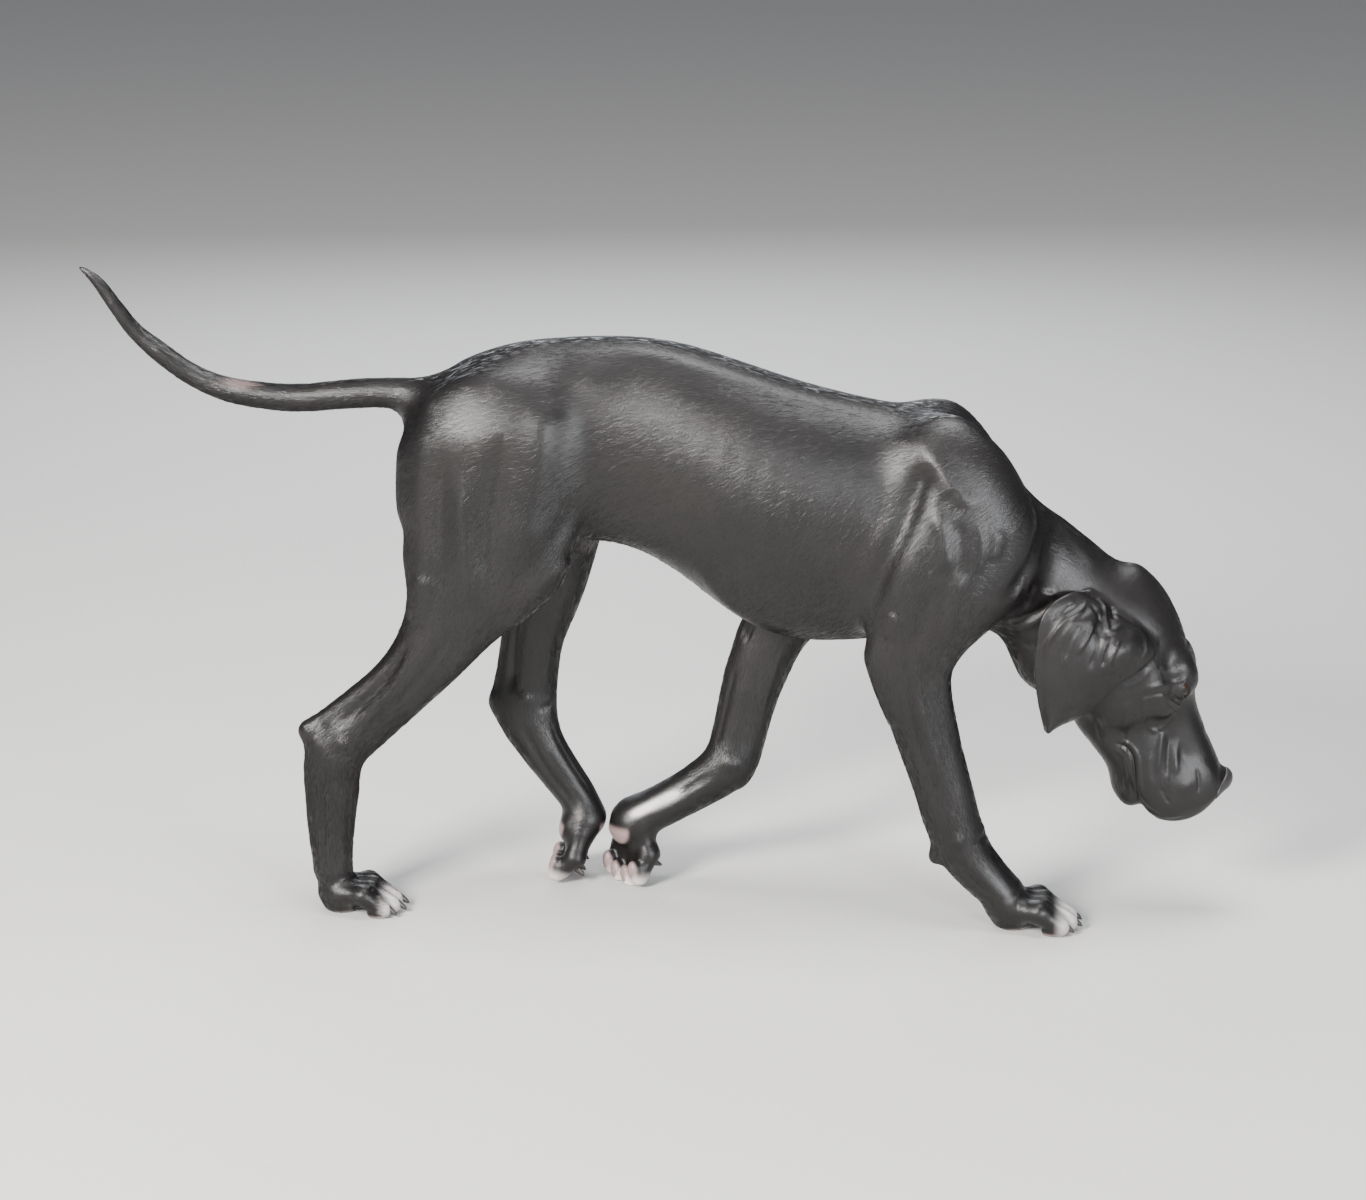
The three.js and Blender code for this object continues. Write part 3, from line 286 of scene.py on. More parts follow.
class Loft(Form):
    def __init__(self, sections, frame=WORLD, square=2.2, crest=0, keel=0.15, cap=40, blend=30):
        self.sections, self.frame = sections, frame
        self.square, self.crest, self.keel, self.cap, self.blend = square, crest, keel, cap, blend
        corners = [[x, y * half, z] for x, top, bottom, half in sections
                   for y in (-1, 1) for z in (top, bottom)]
        low, high = np.min(corners, 0) - cap, np.max(corners, 0) + cap
        box = frame.out([[x, y, z] for x in (low[0], high[0]) for y in (low[1], high[1])
                         for z in (low[2], high[2])])
        self.bounds(box.min(0), box.max(0))

    def distance(self, points):
        a, b, c = self.frame.into(points).T
        places = self.sections[:, 0]
        place = np.clip(a, places[0], places[-1])
        top, bottom, half = cubic(places, self.sections[:, 1:], place).T
        rise, tall = c - (top + bottom) / 2, (top - bottom) / 2
        level = np.clip(rise / tall, -1, 1)
        wide = half * (1 - np.where(level > 0, self.crest, self.keel) * level * level)
        beyond = a - place
        power = self.square
        shares = (b / wide, rise / tall, beyond / self.cap)
        unit = sum(abs(share) ** power for share in shares) ** (1 / power)
        radius = np.sqrt(b * b + rise * rise + beyond * beyond)
        return np.where(unit < 1e-3, -np.minimum(wide, tall), radius * (1 - 1 / np.maximum(unit, 1e-3)))


def smooth_min(a, b, blend):
    overlap = np.maximum(blend - abs(a - b), 0) / blend
    return np.minimum(a, b) - overlap * overlap * blend / 4


def fold(value, forms, points, reach=REACH):
    """Joins forms to a field in turn."""
    value = value.copy()
    for form in forms:
        index = np.flatnonzero(form.near(points, min(reach, form.blend + 24)))
        if len(index):
            own = form.distance(points[index])
            sign = -1 if form.carve else 1
            value[index] = sign * smooth_min(sign * value[index], own, form.blend)
    return value


def both(make):
    return [make(RIGHT), make(LEFT)]


TRUNK_FORMS = [
    Loft(TORSO, square=2.1, crest=0.14, keel=0.2, cap=24),
    *both(lambda side: Ellipsoid([-232, side * 50, 632], [85, 38, 66], blend=44)),
]
neck_tube = Tube(NECK, 36, 20)
NECK_FORMS = [neck_tube, Ellipsoid([462, 0, 330], [46, 30, 40], blend=30)]
tail_tube = Tube(TAIL, 24, 16)


def in_head(centre, radii, blend):
    return Ellipsoid(centre, radii, blend=blend, frame=HEAD)


HEAD_FORMS = [
    in_head([85, 0, -18], [95, 58, 60], 26),
    in_head([42, 0, 14], [44, 20, 18], 24),
    Loft(MUZZLE, frame=HEAD, square=2.9, keel=0, cap=12, blend=22),
    Loft(LOWER_JAW, frame=HEAD, square=2.4, keel=0.12, cap=14, blend=14),
    in_head([262, 0, -106], [20, 22, 15], 12),
    *both(lambda side: in_head([112, side * 40, -60], [58, 24, 48], 26)),
    *both(lambda side: in_head([138, side * 30, 22], [26, 18, 16], 18)),
    *both(lambda side: in_head([132, side * 46, -18], [44, 12, 13], 22)),
    *both(lambda side: in_head([285, side * 26, -44], [37, 15, 47], 16)),
    *both(lambda side: in_head([242, side * 34, -62], [52, 9, 30], 16)),
    in_head([296, 0, 4], [15, 23, 18], 7),
]


class Paw(Place):
    def __init__(self, origin, toes, back, size):
        forward = np.array(toes, float) / np.linalg.norm(toes)
        across = np.cross(back, forward)
        across /= np.linalg.norm(across)
        up = np.cross(forward, across)
        super().__init__(np.stack([forward, across, up], 1), origin)
        self.size = size


PAD_SQUASH = 3
TOES = [(-29, 0.86), (-11, 1), (11, 1), (29, 0.86)]
PAWS = {
    "hind_right": Paw([-433, -75, -PAD_SQUASH], [1, 0, 0], [0, 0, 1], 0.92),
    "hind_left": Paw([-162, 60, 78], [-0.25, 0, -0.97], [0.97, 0, -0.25], 0.92),
    "fore_right": Paw([413, -75, -PAD_SQUASH], [1, 0, 0], [0, 0, 1], 0.97),
    "fore_left": Paw([-92, 38, 78], [0.06, 0, -1], [0.77, 0.64, 0], 0.97),
}


def paw_forms(paw):
    size = paw.size

    def at(*point):
        return paw.out(np.array(point, float) * size)

    def pad(centre, radii, blend):
        return Ellipsoid(np.array(centre) * size, [r * size for r in radii], blend=blend, frame=paw)

    forms = [pad([4, 0, 28], [32, 31, 25], 16), pad([4, 0, 12], [23, 25, 13], 8)]
    for across, length in TOES:
        knuckle = at(46 * length, across, 33)
        forms.append(capsule(at(10, 0.6 * across, 32), knuckle, 15 * size, 15.5 * size, 10))
        forms.append(capsule(knuckle, at(78 * length, 1.05 * across, 15), 15 * size, 12.5 * size, 6))
        forms.append(pad([66 * length, across, 9], [14, 10.5, 10], 5))
    return forms


LEG_BLEND = 44
LEG_TUBES = {name: Tube(table, LEG_BLEND) for name, table in LEG_TABLES.items()}
LEG_SHAPES = {
    "hind_right": [
        capsule([-462, -75, 235], [-430, -75, 200], 14, 26, 12),
        capsule([-345, -73, 330], [-465, -75, 240], 11, 9, 14),
    ],
    "hind_left": [
        capsule([-243, 76, 228], [-212, 76, 200], 14, 24, 12),
        capsule([-222, 80, 340], [-243, 76, 236], 12, 9, 14),
    ],
    "fore_right": [
        Ellipsoid([300, -76, 450], [68, 35, 82], blend=36),
        Ellipsoid([348, -60, 530], [56, 35, 98], blend=44, pitch=-25),
        capsule([240, -78, 352], [275, -79, 345], 14, 25, 16),
        Ellipsoid([322, -76, 92], [11, 9, 13], blend=8),
    ],
    "fore_left": [
        Ellipsoid([262, 74, 460], [72, 34, 78], blend=36),
        Ellipsoid([322, 60, 532], [58, 35, 94], blend=44, pitch=-22),
        capsule([90, 76, 380], [130, 77, 372], 14, 24, 16),
        Ellipsoid([8, 56, 146], [12, 9, 12], blend=8),
    ],
}
PAW_FORMS = {name: paw_forms(paw) for name, paw in PAWS.items()}

# Ears.
EAR_REAR = [[505, 428], [476, 430], [448, 408], [440, 350], [445, 302], [454, 260]]
EAR_FRONT = [[572, 388], [584, 366], [566, 342], [534, 316], [506, 284], [461, 260]]
EAR_OUT = [46, 68, 82, 84, 80, 74]
EAR_ROWS, EAR_COLUMNS = 48, 36
EAR_HALF_THICKNESS = 2.5  # at the tip, and half as much again at the root


def smooth_curve(points, shares):
    """A Catmull-Rom curve through points, at shares of its whole length of spans."""
    points = np.array(points, float)
    spans = np.clip(shares, 0, 1) * (len(points) - 1)
    i = np.minimum(spans.astype(int), len(points) - 2)
    t = (spans - i)[:, None]
    padded = np.vstack([2 * points[0] - points[1], points, 2 * points[-1] - points[-2]])
    p0, p1, p2, p3 = padded[i], padded[i + 1], padded[i + 2], padded[i + 3]
    return 0.5 * (2 * p1 + (p2 - p0) * t + (2 * p0 - 5 * p1 + 4 * p2 - p3) * t**2
                  + (3 * p1 - p0 - 3 * p2 + p3) * t**3)


class Ear(Form):
    """A folded sheet, as a distance from its middle surface less half its thickness."""
    blend = 6

    def __init__(self, side):
        along = np.linspace(0, 1, EAR_ROWS + 1)
        across = np.linspace(0, 1, EAR_COLUMNS + 1)
        rear = smooth_curve([[x, out - 2, z] for (x, z), out in zip(EAR_REAR, EAR_OUT)], along)
        front = smooth_curve([[x, out - 8, z] for (x, z), out in zip(EAR_FRONT, EAR_OUT)], along)
        u, v = np.meshgrid(along, across, indexing="ij")
        middle = rear[:, None] + (front - rear)[:, None] * v[..., None]
        bulge = np.sin(np.pi * v)
        middle[..., 1] += 14 * bulge * np.minimum(1, 3 * u) - 40 * np.maximum(0, v - 0.75) * (1 - u)
        middle[..., 1] += self.folds(u, v)
        middle[..., 1] *= side
        self.side = side
        points = middle.reshape(-1, 3)
        index = np.arange(len(points)).reshape(u.shape)
        around = [index[:-1, :-1], index[:-1, 1:], index[1:, 1:], index[1:, :-1]]
        quads = np.stack(around, -1).reshape(-1, 4)
        self.tree = BVHTree.FromPolygons(points.tolist(), quads.tolist())
        self.quads = quads
        self.half = EAR_HALF_THICKNESS * (1.5 - 0.5 * u.ravel())
        self.bounds(points.min(0) - 4, points.max(0) + 4)

    @staticmethod
    def folds(u, v):
        """How far the leather folds in and out, over the ear from root to tip and rear to front."""
        pleat = 4.0 * np.exp(-(((v - 0.30) / 0.07) ** 2)) * np.exp(-(((u - 0.22) / 0.2) ** 2))
        trough = -5.0 * np.exp(-(((v - 0.45) / 0.08) ** 2)) * np.exp(-(((u - 0.25) / 0.22) ** 2))
        lobe = 5.0 * np.exp(-(((v - 0.80) / 0.12) ** 2)) * np.exp(-(((u - 0.25) / 0.25) ** 2))
        rim = 2.0 * np.exp(-((v / 0.05) ** 2)) * np.minimum(1, 3 * u)
        return pleat + trough + lobe + rim

    def distance(self, points):
        found = [self.tree.find_nearest(point) for point in points.tolist()]
        face = np.array([hit[2] for hit in found])
        away = np.array([hit[3] for hit in found])
        return away - self.half[self.quads[face, 0]]


EARS = [Ear(RIGHT), Ear(LEFT)]

# Eyes, lids and nostrils.
EYE_FACING = np.array([0.42, 0.82, 0.38]) / np.linalg.norm([0.42, 0.82, 0.38])


def eye_centre(name):
    low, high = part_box(name)
    return (np.array(low) + np.array(high)) / 2 / MM - SHIFT


EYES = {RIGHT: eye_centre("eye_right"), LEFT: eye_centre("eye_left")}
LID_THICKNESS = 2.0
EYE_HALF_LENGTH = 12.0  # from the middle of the opening to its corners
UPPER_LID, LOWER_LID = 4.6, 5.2  # how far the lids' rims stand from the line of the corners
EYE_FORMS = both(lambda side: Ellipsoid(EYES[side], [EYE_RADIUS + LID_THICKNESS] * 3, blend=6))


def eye_distance(points):
    """How far points are from the middle of the nearer eye."""
    return np.minimum(*both(lambda side: np.linalg.norm(points - EYES[side], axis=1)))


def opened(points):
    """Points of the skin, with the almonds between the lids pushed in behind the eyeballs."""
    points = points.copy()
    for side in (RIGHT, LEFT):
        facing = EYE_FACING * [1, side, 1]
        corner = np.array([1, 0, -0.25])
        corner = corner - facing * (corner @ facing)
        corner /= np.linalg.norm(corner)
        axes = np.stack([corner, np.cross(corner, facing) * side, facing], 1)
        place = Place(HEAD.turn @ axes, EYES[side])
        near = np.flatnonzero(np.linalg.norm(points - EYES[side], axis=1) < EYE_RADIUS + 6)
        own = place.into(points[near])
        along, up, out = own.T
        share = 1 - (along / EYE_HALF_LENGTH) ** 2
        rim = abs(up) - np.where(up > 0, UPPER_LID, LOWER_LID) * share
        inward = ramp(rim, 0.9, -0.6) * (out > 0) * (share > -0.5)
        radius = np.linalg.norm(own, axis=1)
        edge = 0.5 * np.exp(-(((rim - 1.6) / 1.1) ** 2)) * (out > 0)
        goal = radius + edge + (EYE_RADIUS - 1.2 - radius) * inward
        points[near] = place.out(own * (goal / radius)[:, None])
    return points


NOSTRIL = [[318, 7, 3], [309, 11, 5.5], [303, 18, 3], [301, 25, -5]]
NOSTRIL_RADIUS = 3.6


def nostril(side):
    line = HEAD.out(np.array(NOSTRIL) * [1, side, 1])
    tube = Tube([[*point, NOSTRIL_RADIUS, NOSTRIL_RADIUS] for point in line], 2.0, 5)
    tube.carve = True
    return tube


NOSTRIL_FORMS = both(nostril)


# The whole field.


def coat_depth(points):
    """How deep the skin lies under the outline of the coat."""
    along = HEAD.into(points)[:, 0]
    face = np.clip((along + 30) / 90, 0, 1)
    ear = np.clip((abs(points[:, 1]) - 50) / 10, 0, 1) * (points[:, 0] > HEAD_START)
    face = np.maximum(face, 1.35 * ear)
    foot = np.clip((360 - points[:, 2]) / 100, 0, 1) * (points[:, 0] < FACE_START)
    return COAT_DEPTH + (FACE_DEPTH - COAT_DEPTH) * np.maximum(face, 0.6 * foot)


PAW_GAP = 4.0  # between two paws that pass each other


def skin_value(points):
    """Below zero inside the skin."""
    empty = np.full(len(points), FAR)
    body = fold(empty, TRUNK_FORMS + NECK_FORMS + [tail_tube] + HEAD_FORMS, points)
    value = body.copy()
    low = points[:, 2] < 200
    for name, tube in LEG_TUBES.items():
        leg = fold(body, [tube] + LEG_SHAPES[name], points)
        leg = fold(leg, PAW_FORMS[name], points, 40)
        apart = np.where(low & (value < FAR / 2), PAW_GAP - value, -FAR)
        value = np.minimum(value, np.maximum(leg, apart))
    value = fold(value, EARS, points, 10)
    value = value + coat_depth(points)
    value = fold(value, EYE_FORMS + NOSTRIL_FORMS, points, 12)
    return np.maximum(value, FLOOR_GAP - points[:, 2])


def in_chunks(value_at, points, size=150000):
    return np.concatenate([value_at(points[i:i + size]) for i in range(0, len(points), size)])


def slope(value_at, points, value, step=0.4):
    columns = [in_chunks(value_at, points + step * axis) - value for axis in np.eye(3)]
    return np.stack(columns, 1) / step


def drawn(value_at, points, passes, limit=3.0):
    """Points moved onto the surface, and the surface's normals there."""
    for _ in range(passes):
        value = in_chunks(value_at, points)
        direction = slope(value_at, points, value)
        square = np.maximum((direction**2).sum(1), 0.25)
        move = -value / square
        reach = abs(move) * np.sqrt(square)
        move *= np.minimum(1, limit / np.maximum(reach, 1e-9))
        points = points + direction * move[:, None]
    normals = direction / np.maximum(np.linalg.norm(direction, axis=1), 1e-9)[:, None]
    return points, normals


CUBE = [(i, j, k) for i in (0, 1) for j in (0, 1) for k in (0, 1)]


def shifted(grid, corner):
    """A grid's values at one corner of each of its cells."""
    return grid[tuple(slice(c, n - 1 + c) for c, n in zip(corner, grid.shape))]


def net(value_at, xs, ys, zs, coarse=4):
    """A net of quads over a field's surface, on a grid whose lines may be spaced unevenly."""
    axes = [xs, ys, zs]
    shape = tuple(len(axis) for axis in axes)
    rough = [axis[::coarse] for axis in axes]
    grid = np.stack(np.meshgrid(*rough, indexing="ij"), -1).reshape(-1, 3)
    rough_value = in_chunks(value_at, grid).reshape([len(axis) for axis in rough])
    near = abs(rough_value) < 20
    cell_near = np.any([shifted(near, corner) for corner in CUBE], axis=0)
    nearest = [np.minimum((np.arange(n) + coarse // 2) // coarse, len(r) - 1)
               for n, r in zip(shape, rough)]
    value = rough_value[np.ix_(*nearest)].astype(np.float32)
    cells = [np.minimum(np.arange(n) // coarse, m - 1) for n, m in zip(shape, cell_near.shape)]
    lower = [np.maximum((np.arange(n) - 1) // coarse, 0) for n in shape]
    mask = np.zeros(shape, bool)
    for corner in CUBE:
        mask |= cell_near[np.ix_(*[(cells, lower)[c][n] for n, c in enumerate(corner)])]
    index = np.argwhere(mask)
    value[mask] = in_chunks(value_at, np.stack([axes[n][index[:, n]] for n in range(3)], 1))
    unpinch(value)
    inside = value < 0
    spans = [n - 1 for n in shape]
    count = sum(shifted(inside, corner).astype(np.int8) for corner in CUBE)
    cell = np.argwhere((count > 0) & (count < 8))
    number = np.full(spans, -1)
    number[tuple(cell.T)] = np.arange(len(cell))
    low = np.stack([axes[n][cell[:, n]] for n in range(3)], 1)
    size = np.stack([axes[n][cell[:, n] + 1] for n in range(3)], 1) - low
    at = {corner: value[tuple((cell + corner).T)] for corner in CUBE}
    total, hits = np.zeros((len(cell), 3)), np.zeros(len(cell))
    for start in CUBE:
        for axis in range(3):
            if start[axis] == 0:
                end = tuple(1 if n == axis else start[n] for n in range(3))
                a, b = at[start], at[end]
                crossed = (a < 0) != (b < 0)
                share = np.where(crossed, a / np.where(crossed, a - b, 1), 0)
                point = np.repeat(np.array(start, float)[None], len(cell), 0)
                point[:, axis] = share
                total += point * crossed[:, None]
                hits += crossed
    points = low + size * total / hits[:, None]
    quads = []
    for axis in range(3):
        one, two = (np.eye(3, dtype=int)[(axis + step) % 3] for step in (1, 2))
        first = tuple(slice(0, -1) if n == axis else slice(None) for n in range(3))
        second = tuple(slice(1, None) if n == axis else slice(None) for n in range(3))
        edge = np.argwhere(inside[first] != inside[second])
        edge = edge[((edge @ one) > 0) & ((edge @ two) > 0)]
        around = [number[tuple(c.T)] for c in (edge, edge - one, edge - one - two, edge - two)]
        quad = np.stack(around, 1)
        flip = ~inside[tuple(edge.T)]
        quad[flip] = quad[flip][:, ::-1]
        quads.append(quad)
    return points, np.concatenate(quads)


def unpinch(value):
    """Counts the shallower inside corner of a grid face as outside where its corners alternate."""
    for _ in range(4):
        for a, b in ((0, 1), (1, 2), (0, 2)):
            corner = []
            for i, j in ((0, 0), (1, 0), (1, 1), (0, 1)):
                cut = [slice(None)] * 3
                cut[a] = slice(i, value.shape[a] - 1 + i)
                cut[b] = slice(j, value.shape[b] - 1 + j)
                corner.append(value[tuple(cut)])
            inner = [c < 0 for c in corner]
            for p, q in ((0, 2), (1, 3)):
                other = [n for n in range(4) if n not in (p, q)]
                bad = inner[p] & inner[q] & ~inner[other[0]] & ~inner[other[1]]
                shallow = bad & (corner[p] >= corner[q])
                corner[p][shallow] *= -1
                rest = bad & ~shallow
                corner[q][rest] *= -1


def spaced(stops):
    """Grid lines between stops of (place, spacing up to the next)."""
    lines = [np.array([stops[0][0]], float)]
    for (start, step), (end, _) in zip(stops, stops[1:]):
        count = max(1, round((end - start) / step))
        lines.append(np.linspace(start, end, count + 1)[1:])
    lines = np.concatenate(lines)
    spare = (-(len(lines) - 1)) % 4
    return np.concatenate([lines, lines[-1] + (lines[-1] - lines[-2]) * np.arange(1, spare + 1)])


# Making pieces.


def metres(points):
    """Points of the tables as a mesh's coordinates in the row's frame."""
    return ((points + SHIFT) * MM).astype(np.float32).ravel()


def added(name, data):
    """A new object of the scene."""
    thing = bpy.data.objects.new(name, data)
    bpy.context.scene.collection.objects.link(thing)
    return thing


def piece_of(name, points, faces, nodes, finish, material):
    """A smooth-shaded mesh in the row's frame, in place of solids."""
    mesh = bpy.data.meshes.new(name)
    sides = faces.shape[1]
    mesh.vertices.add(len(points))
    mesh.vertices.foreach_set("co", metres(points))
    mesh.loops.add(faces.size)
    mesh.loops.foreach_set("vertex_index", faces.ravel().astype(np.int32))
    mesh.polygons.add(len(faces))
    mesh.polygons.foreach_set("loop_start", np.arange(0, faces.size, sides, dtype=np.int32))
    mesh.polygons.foreach_set("use_smooth", np.ones(len(faces), bool))
    mesh.update(calc_edges=True)
    mesh.validate()
    mesh.materials.append(material)
    piece = added(name, mesh)
    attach(piece, "root")
    if nodes:
        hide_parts(*nodes)
    return piece


def add_attribute(piece, name, values):
    kind, field = ("FLOAT", "value") if values.ndim == 1 else ("FLOAT_VECTOR", "vector")
    attribute = piece.data.attributes.new(name, kind, "POINT")
    attribute.data.foreach_set(field, values.astype(np.float32).ravel())


class Shader:
    """A node material, built by name."""

    def __init__(self, name):
        self.material = bpy.data.materials.new(name)
        self.material.use_nodes = True
        self.tree = self.material.node_tree
        self.surface = self.tree.nodes["Principled BSDF"]

    def node(self, kind, **inputs):
        node = self.tree.nodes.new("ShaderNode" + kind)
        for name, value in inputs.items():
            if hasattr(node, name):
                setattr(node, name, value)
            else:
                self.feed(node.inputs[name.replace("_", " ")], value)
        return node

    def feed(self, socket, value):
        if isinstance(value, bpy.types.NodeSocket):
            self.tree.links.new(value, socket)
        else:
            socket.default_value = value

    def set(self, **inputs):
        for name, value in inputs.items():
            self.feed(self.surface.inputs[name.replace("_", " ")], value)


WHITE, PINK, PALE = (0.62, 0.58, 0.56, 1), (0.20, 0.145, 0.14, 1), (0.16, 0.145, 0.14, 1)


def coat_material():
    """Glossy black hair, white on the toes, pinkish grey on the pads, and pale at the tuck."""
    shader = Shader("short black coat")
    place = shader.node("TexCoord").outputs["Object"]
    broad = shader.node("TexNoise", Vector=place, Scale=9.0, Detail=4.0, Roughness=0.6).outputs["Fac"]
    strand = shader.node("Attribute", attribute_name="strand").outputs["Vector"]
    fine = shader.node("TexNoise", Vector=strand, Scale=1.0, Detail=3.0, Roughness=0.6).outputs["Fac"]
    tone = shader.node("ValToRGB", Fac=broad)
    dark, light = tone.color_ramp.elements
    dark.position, dark.color = 0.3, (0.0032, 0.0029, 0.0030, 1)
    light.position, light.color = 0.75, (0.0085, 0.0073, 0.0072, 1)
    mark = shader.node("Attribute", attribute_name="marks").outputs["Vector"]
    share = shader.node("SeparateXYZ", Vector=mark).outputs
    colour = tone.outputs["Color"]
    for amount, tint in ((share[2], PALE), (share[1], PINK), (share[0], WHITE)):
        mix = shader.node("Mix", data_type="RGBA")
        shader.feed(mix.inputs[0], amount)
        shader.feed(mix.inputs[6], colour)
        shader.feed(mix.inputs[7], tint)
        colour = mix.outputs[2]
    bump = shader.node("Bump", Strength=0.55, Distance=0.0006, Height=fine).outputs["Normal"]
    shader.set(Base_Color=colour, Roughness=0.36, Specular_IOR_Level=0.34, Normal=bump)
    return shader.material


def plain_material(name, colour, roughness):
    shader = Shader(name)
    shader.set(Base_Color=(*colour, 1), Roughness=roughness)
    return shader.material


coat = coat_material()
leather = plain_material("nose leather", (0.02, 0.018, 0.018), 0.45)
horn = plain_material("claw horn", (0.03, 0.026, 0.024), 0.4)

# The skin.


def listed(items, field, kind, size=1):
    """One field of all of a mesh's points, edges, corners or faces."""
    values = np.empty(len(items) * size, kind)
    items.foreach_get(field, values)
    return values if size == 1 else values.reshape(-1, size)


def averaged(values, pairs, degree):
    """Each point's mean over its neighbours."""
    columns = [np.bincount(pairs[:, 0], weights=column[pairs[:, 1]], minlength=len(values))
               for column in values.T]
    return np.stack(columns, 1) / np.maximum(degree, 1)[:, None]


def spread(mesh, values, passes, strength):
    """Values at a mesh's points, drawn towards their neighbours' mean so many times."""
    pairs = listed(mesh.edges, "vertices", np.int32, 2)
    pairs = np.concatenate([pairs, pairs[:, ::-1]])
    degree = np.bincount(pairs[:, 0], minlength=len(values))
    for _ in range(passes):
        values = values + strength * (averaged(values, pairs, degree) - values)
    return values


def read(mesh, field="co"):
    values = listed(mesh.vertices, field, float, 3)
    return values if field == "normal" else values / MM - SHIFT


def write(mesh, points):
    mesh.vertices.foreach_set("co", metres(points))
    mesh.update()


def refined(mesh, inside):
    """Splits the faces whose points are all inside a region."""
    chosen = inside(read(mesh))
    model = bmesh.new()
    model.from_mesh(mesh)
    model.verts.ensure_lookup_table()
    edges = [edge for edge in model.edges if all(chosen[point.index] for point in edge.verts)]
    bmesh.ops.subdivide_edges(model, edges=edges, cuts=1, use_grid_fill=True)
    model.to_mesh(mesh)
    model.free()


def on_head(points):
    return (HEAD.into(points)[:, 0] > -60) & (points[:, 0] > HEAD_START)


MOUTH_ALONG = [158, 180, 205, 232, 258, 276]
MOUTH_UP = [-66, -72, -78, -84, -91, -98]


def on_feature(points):
    """Round the eyes, along the lips and at the nose."""
    a, _, c = HEAD.into(points).T
    eyes = eye_distance(points)
    mouth = np.interp(a, MOUTH_ALONG, MOUTH_UP)
    lips = (a > 150) & (abs(c - mouth) < 7)
    return (points[:, 0] > FACE_START) & ((eyes < 23) | ((a > 286) & (c > -22)) | lips)


def on_eye(points):
    return eye_distance(points) < EYE_RADIUS + 5


def on_paw(points):
    near = np.zeros(len(points), bool)
    for paw in PAWS.values():
        place = paw.into(points)
        near |= (np.linalg.norm(place * [0.8, 1, 1], axis=1) < 84) & (place[:, 0] > -20)
    return near


FLESH = ["torso", "neck", "head", "ear_right", "ear_left", "tail_root", "tail_tip"]
FLESH += [f"hind_{side}_{part}" for side in ("right", "left") for part in ("thigh", "shank", "hock", "paw")]
FLESH += [f"fore_{side}_{part}" for side in ("right", "left") for part in ("shoulder", "forearm", "paw")]

xs = spaced([(-770, 4.6), (HEAD_START, 2.8), (720, 1)])
ys = spaced([(-124, 3.6), (-100, 1.6), (-52, 3.4), (52, 1.6), (100, 3.6), (124, 1)])
zs = spaced([(-4, 3.0), (100, 3.6), (244, 2.4), (300, 3.6), (440, 4.6), (826, 1)])
skin = piece_of("skin", *net(skin_value, xs, ys, zs), FLESH, "coat", coat)
shape = skin.data
write(shape, spread(shape, read(shape), 2, 0.6))
points, _ = drawn(skin_value, read(shape), 1)


def creased(points):
    """Where the forms' creases are smoothed away: the trunk and the upper legs."""
    head = HEAD.into(points)[:, 0]
    high = 0.4 + 0.6 * ramp(points[:, 2], 230, 360)
    tail = ramp(points[:, 0], -420, -320)
    neck = 1 - ramp(head, -110, -30) * (points[:, 0] > 420)
    foot = ramp(points[:, 2], 60, 130)
    return high * np.maximum(tail, 0.12) * neck * foot


CREASE_PASSES, CREASE_STRENGTH = 44, 0.6
weight = creased(points)[:, None] * CREASE_STRENGTH
points = spread(shape, points, CREASE_PASSES, weight)
write(shape, points)
for region in (lambda place: on_head(place) | on_paw(place), on_feature, on_eye):
    refined(shape, region)
    points = read(shape)
    near = np.flatnonzero(region(points) & (creased(points) < 0.02))
    points[near], _ = drawn(skin_value, points[near], 2, 1.2)
    write(shape, points)

# Strokes on the skin, for muscles, tendons, veins and folds. The near side's are placed by pixels.
CAMERA_TARGET = np.array([0, 0, 395.0])
CAMERA_DISTANCE = 5000.0
CAMERA_AZIMUTH, CAMERA_ELEVATION = math.radians(4), math.radians(17)
FOCAL_PIXELS = 4000
IMAGE_WIDTH, IMAGE_HEIGHT = 1366, 1200
VIEW_BACK = np.array([
    math.sin(CAMERA_AZIMUTH) * math.cos(CAMERA_ELEVATION),
    -math.cos(CAMERA_AZIMUTH) * math.cos(CAMERA_ELEVATION),
    math.sin(CAMERA_ELEVATION),
])
VIEW_RIGHT = np.array([math.cos(CAMERA_AZIMUTH), math.sin(CAMERA_AZIMUTH), 0])
VIEW_UP = np.cross(VIEW_BACK, VIEW_RIGHT)
EYEPOINT = CAMERA_TARGET + CAMERA_DISTANCE * VIEW_BACK


def tree_of(mesh):
    """A search tree of a mesh, in the tables' millimetres."""
    faces = [tuple(face.vertices) for face in mesh.polygons]
    return BVHTree.FromPolygons(read(mesh).tolist(), faces)


def dense(line, step=3.0):
    """A smooth curve through a line's points, in short steps."""
    line = np.array(line, float)
    if len(line) < 2:
        return line
    length = np.linalg.norm(np.diff(line, axis=0), axis=1).sum()
    return smooth_curve(line, np.linspace(0, 1, max(4, int(length / step))))


def seen(pixels):
    """The places on the skin behind pixels of the picture's frame, on the side towards the camera."""
    places = []
    for across, down in dense(pixels, 4):
        ray = -VIEW_BACK + VIEW_RIGHT * (across - IMAGE_WIDTH / 2) / FOCAL_PIXELS
        ray = ray + VIEW_UP * (IMAGE_HEIGHT / 2 - down) / FOCAL_PIXELS
        hit = surface.ray_cast(Vector(EYEPOINT), Vector(ray))[0]
        if hit is not None:
            places.append(np.array(hit))
    return places


def settled(line):
    return np.array([np.array(surface.find_nearest(Vector(point))[0]) for point in line])


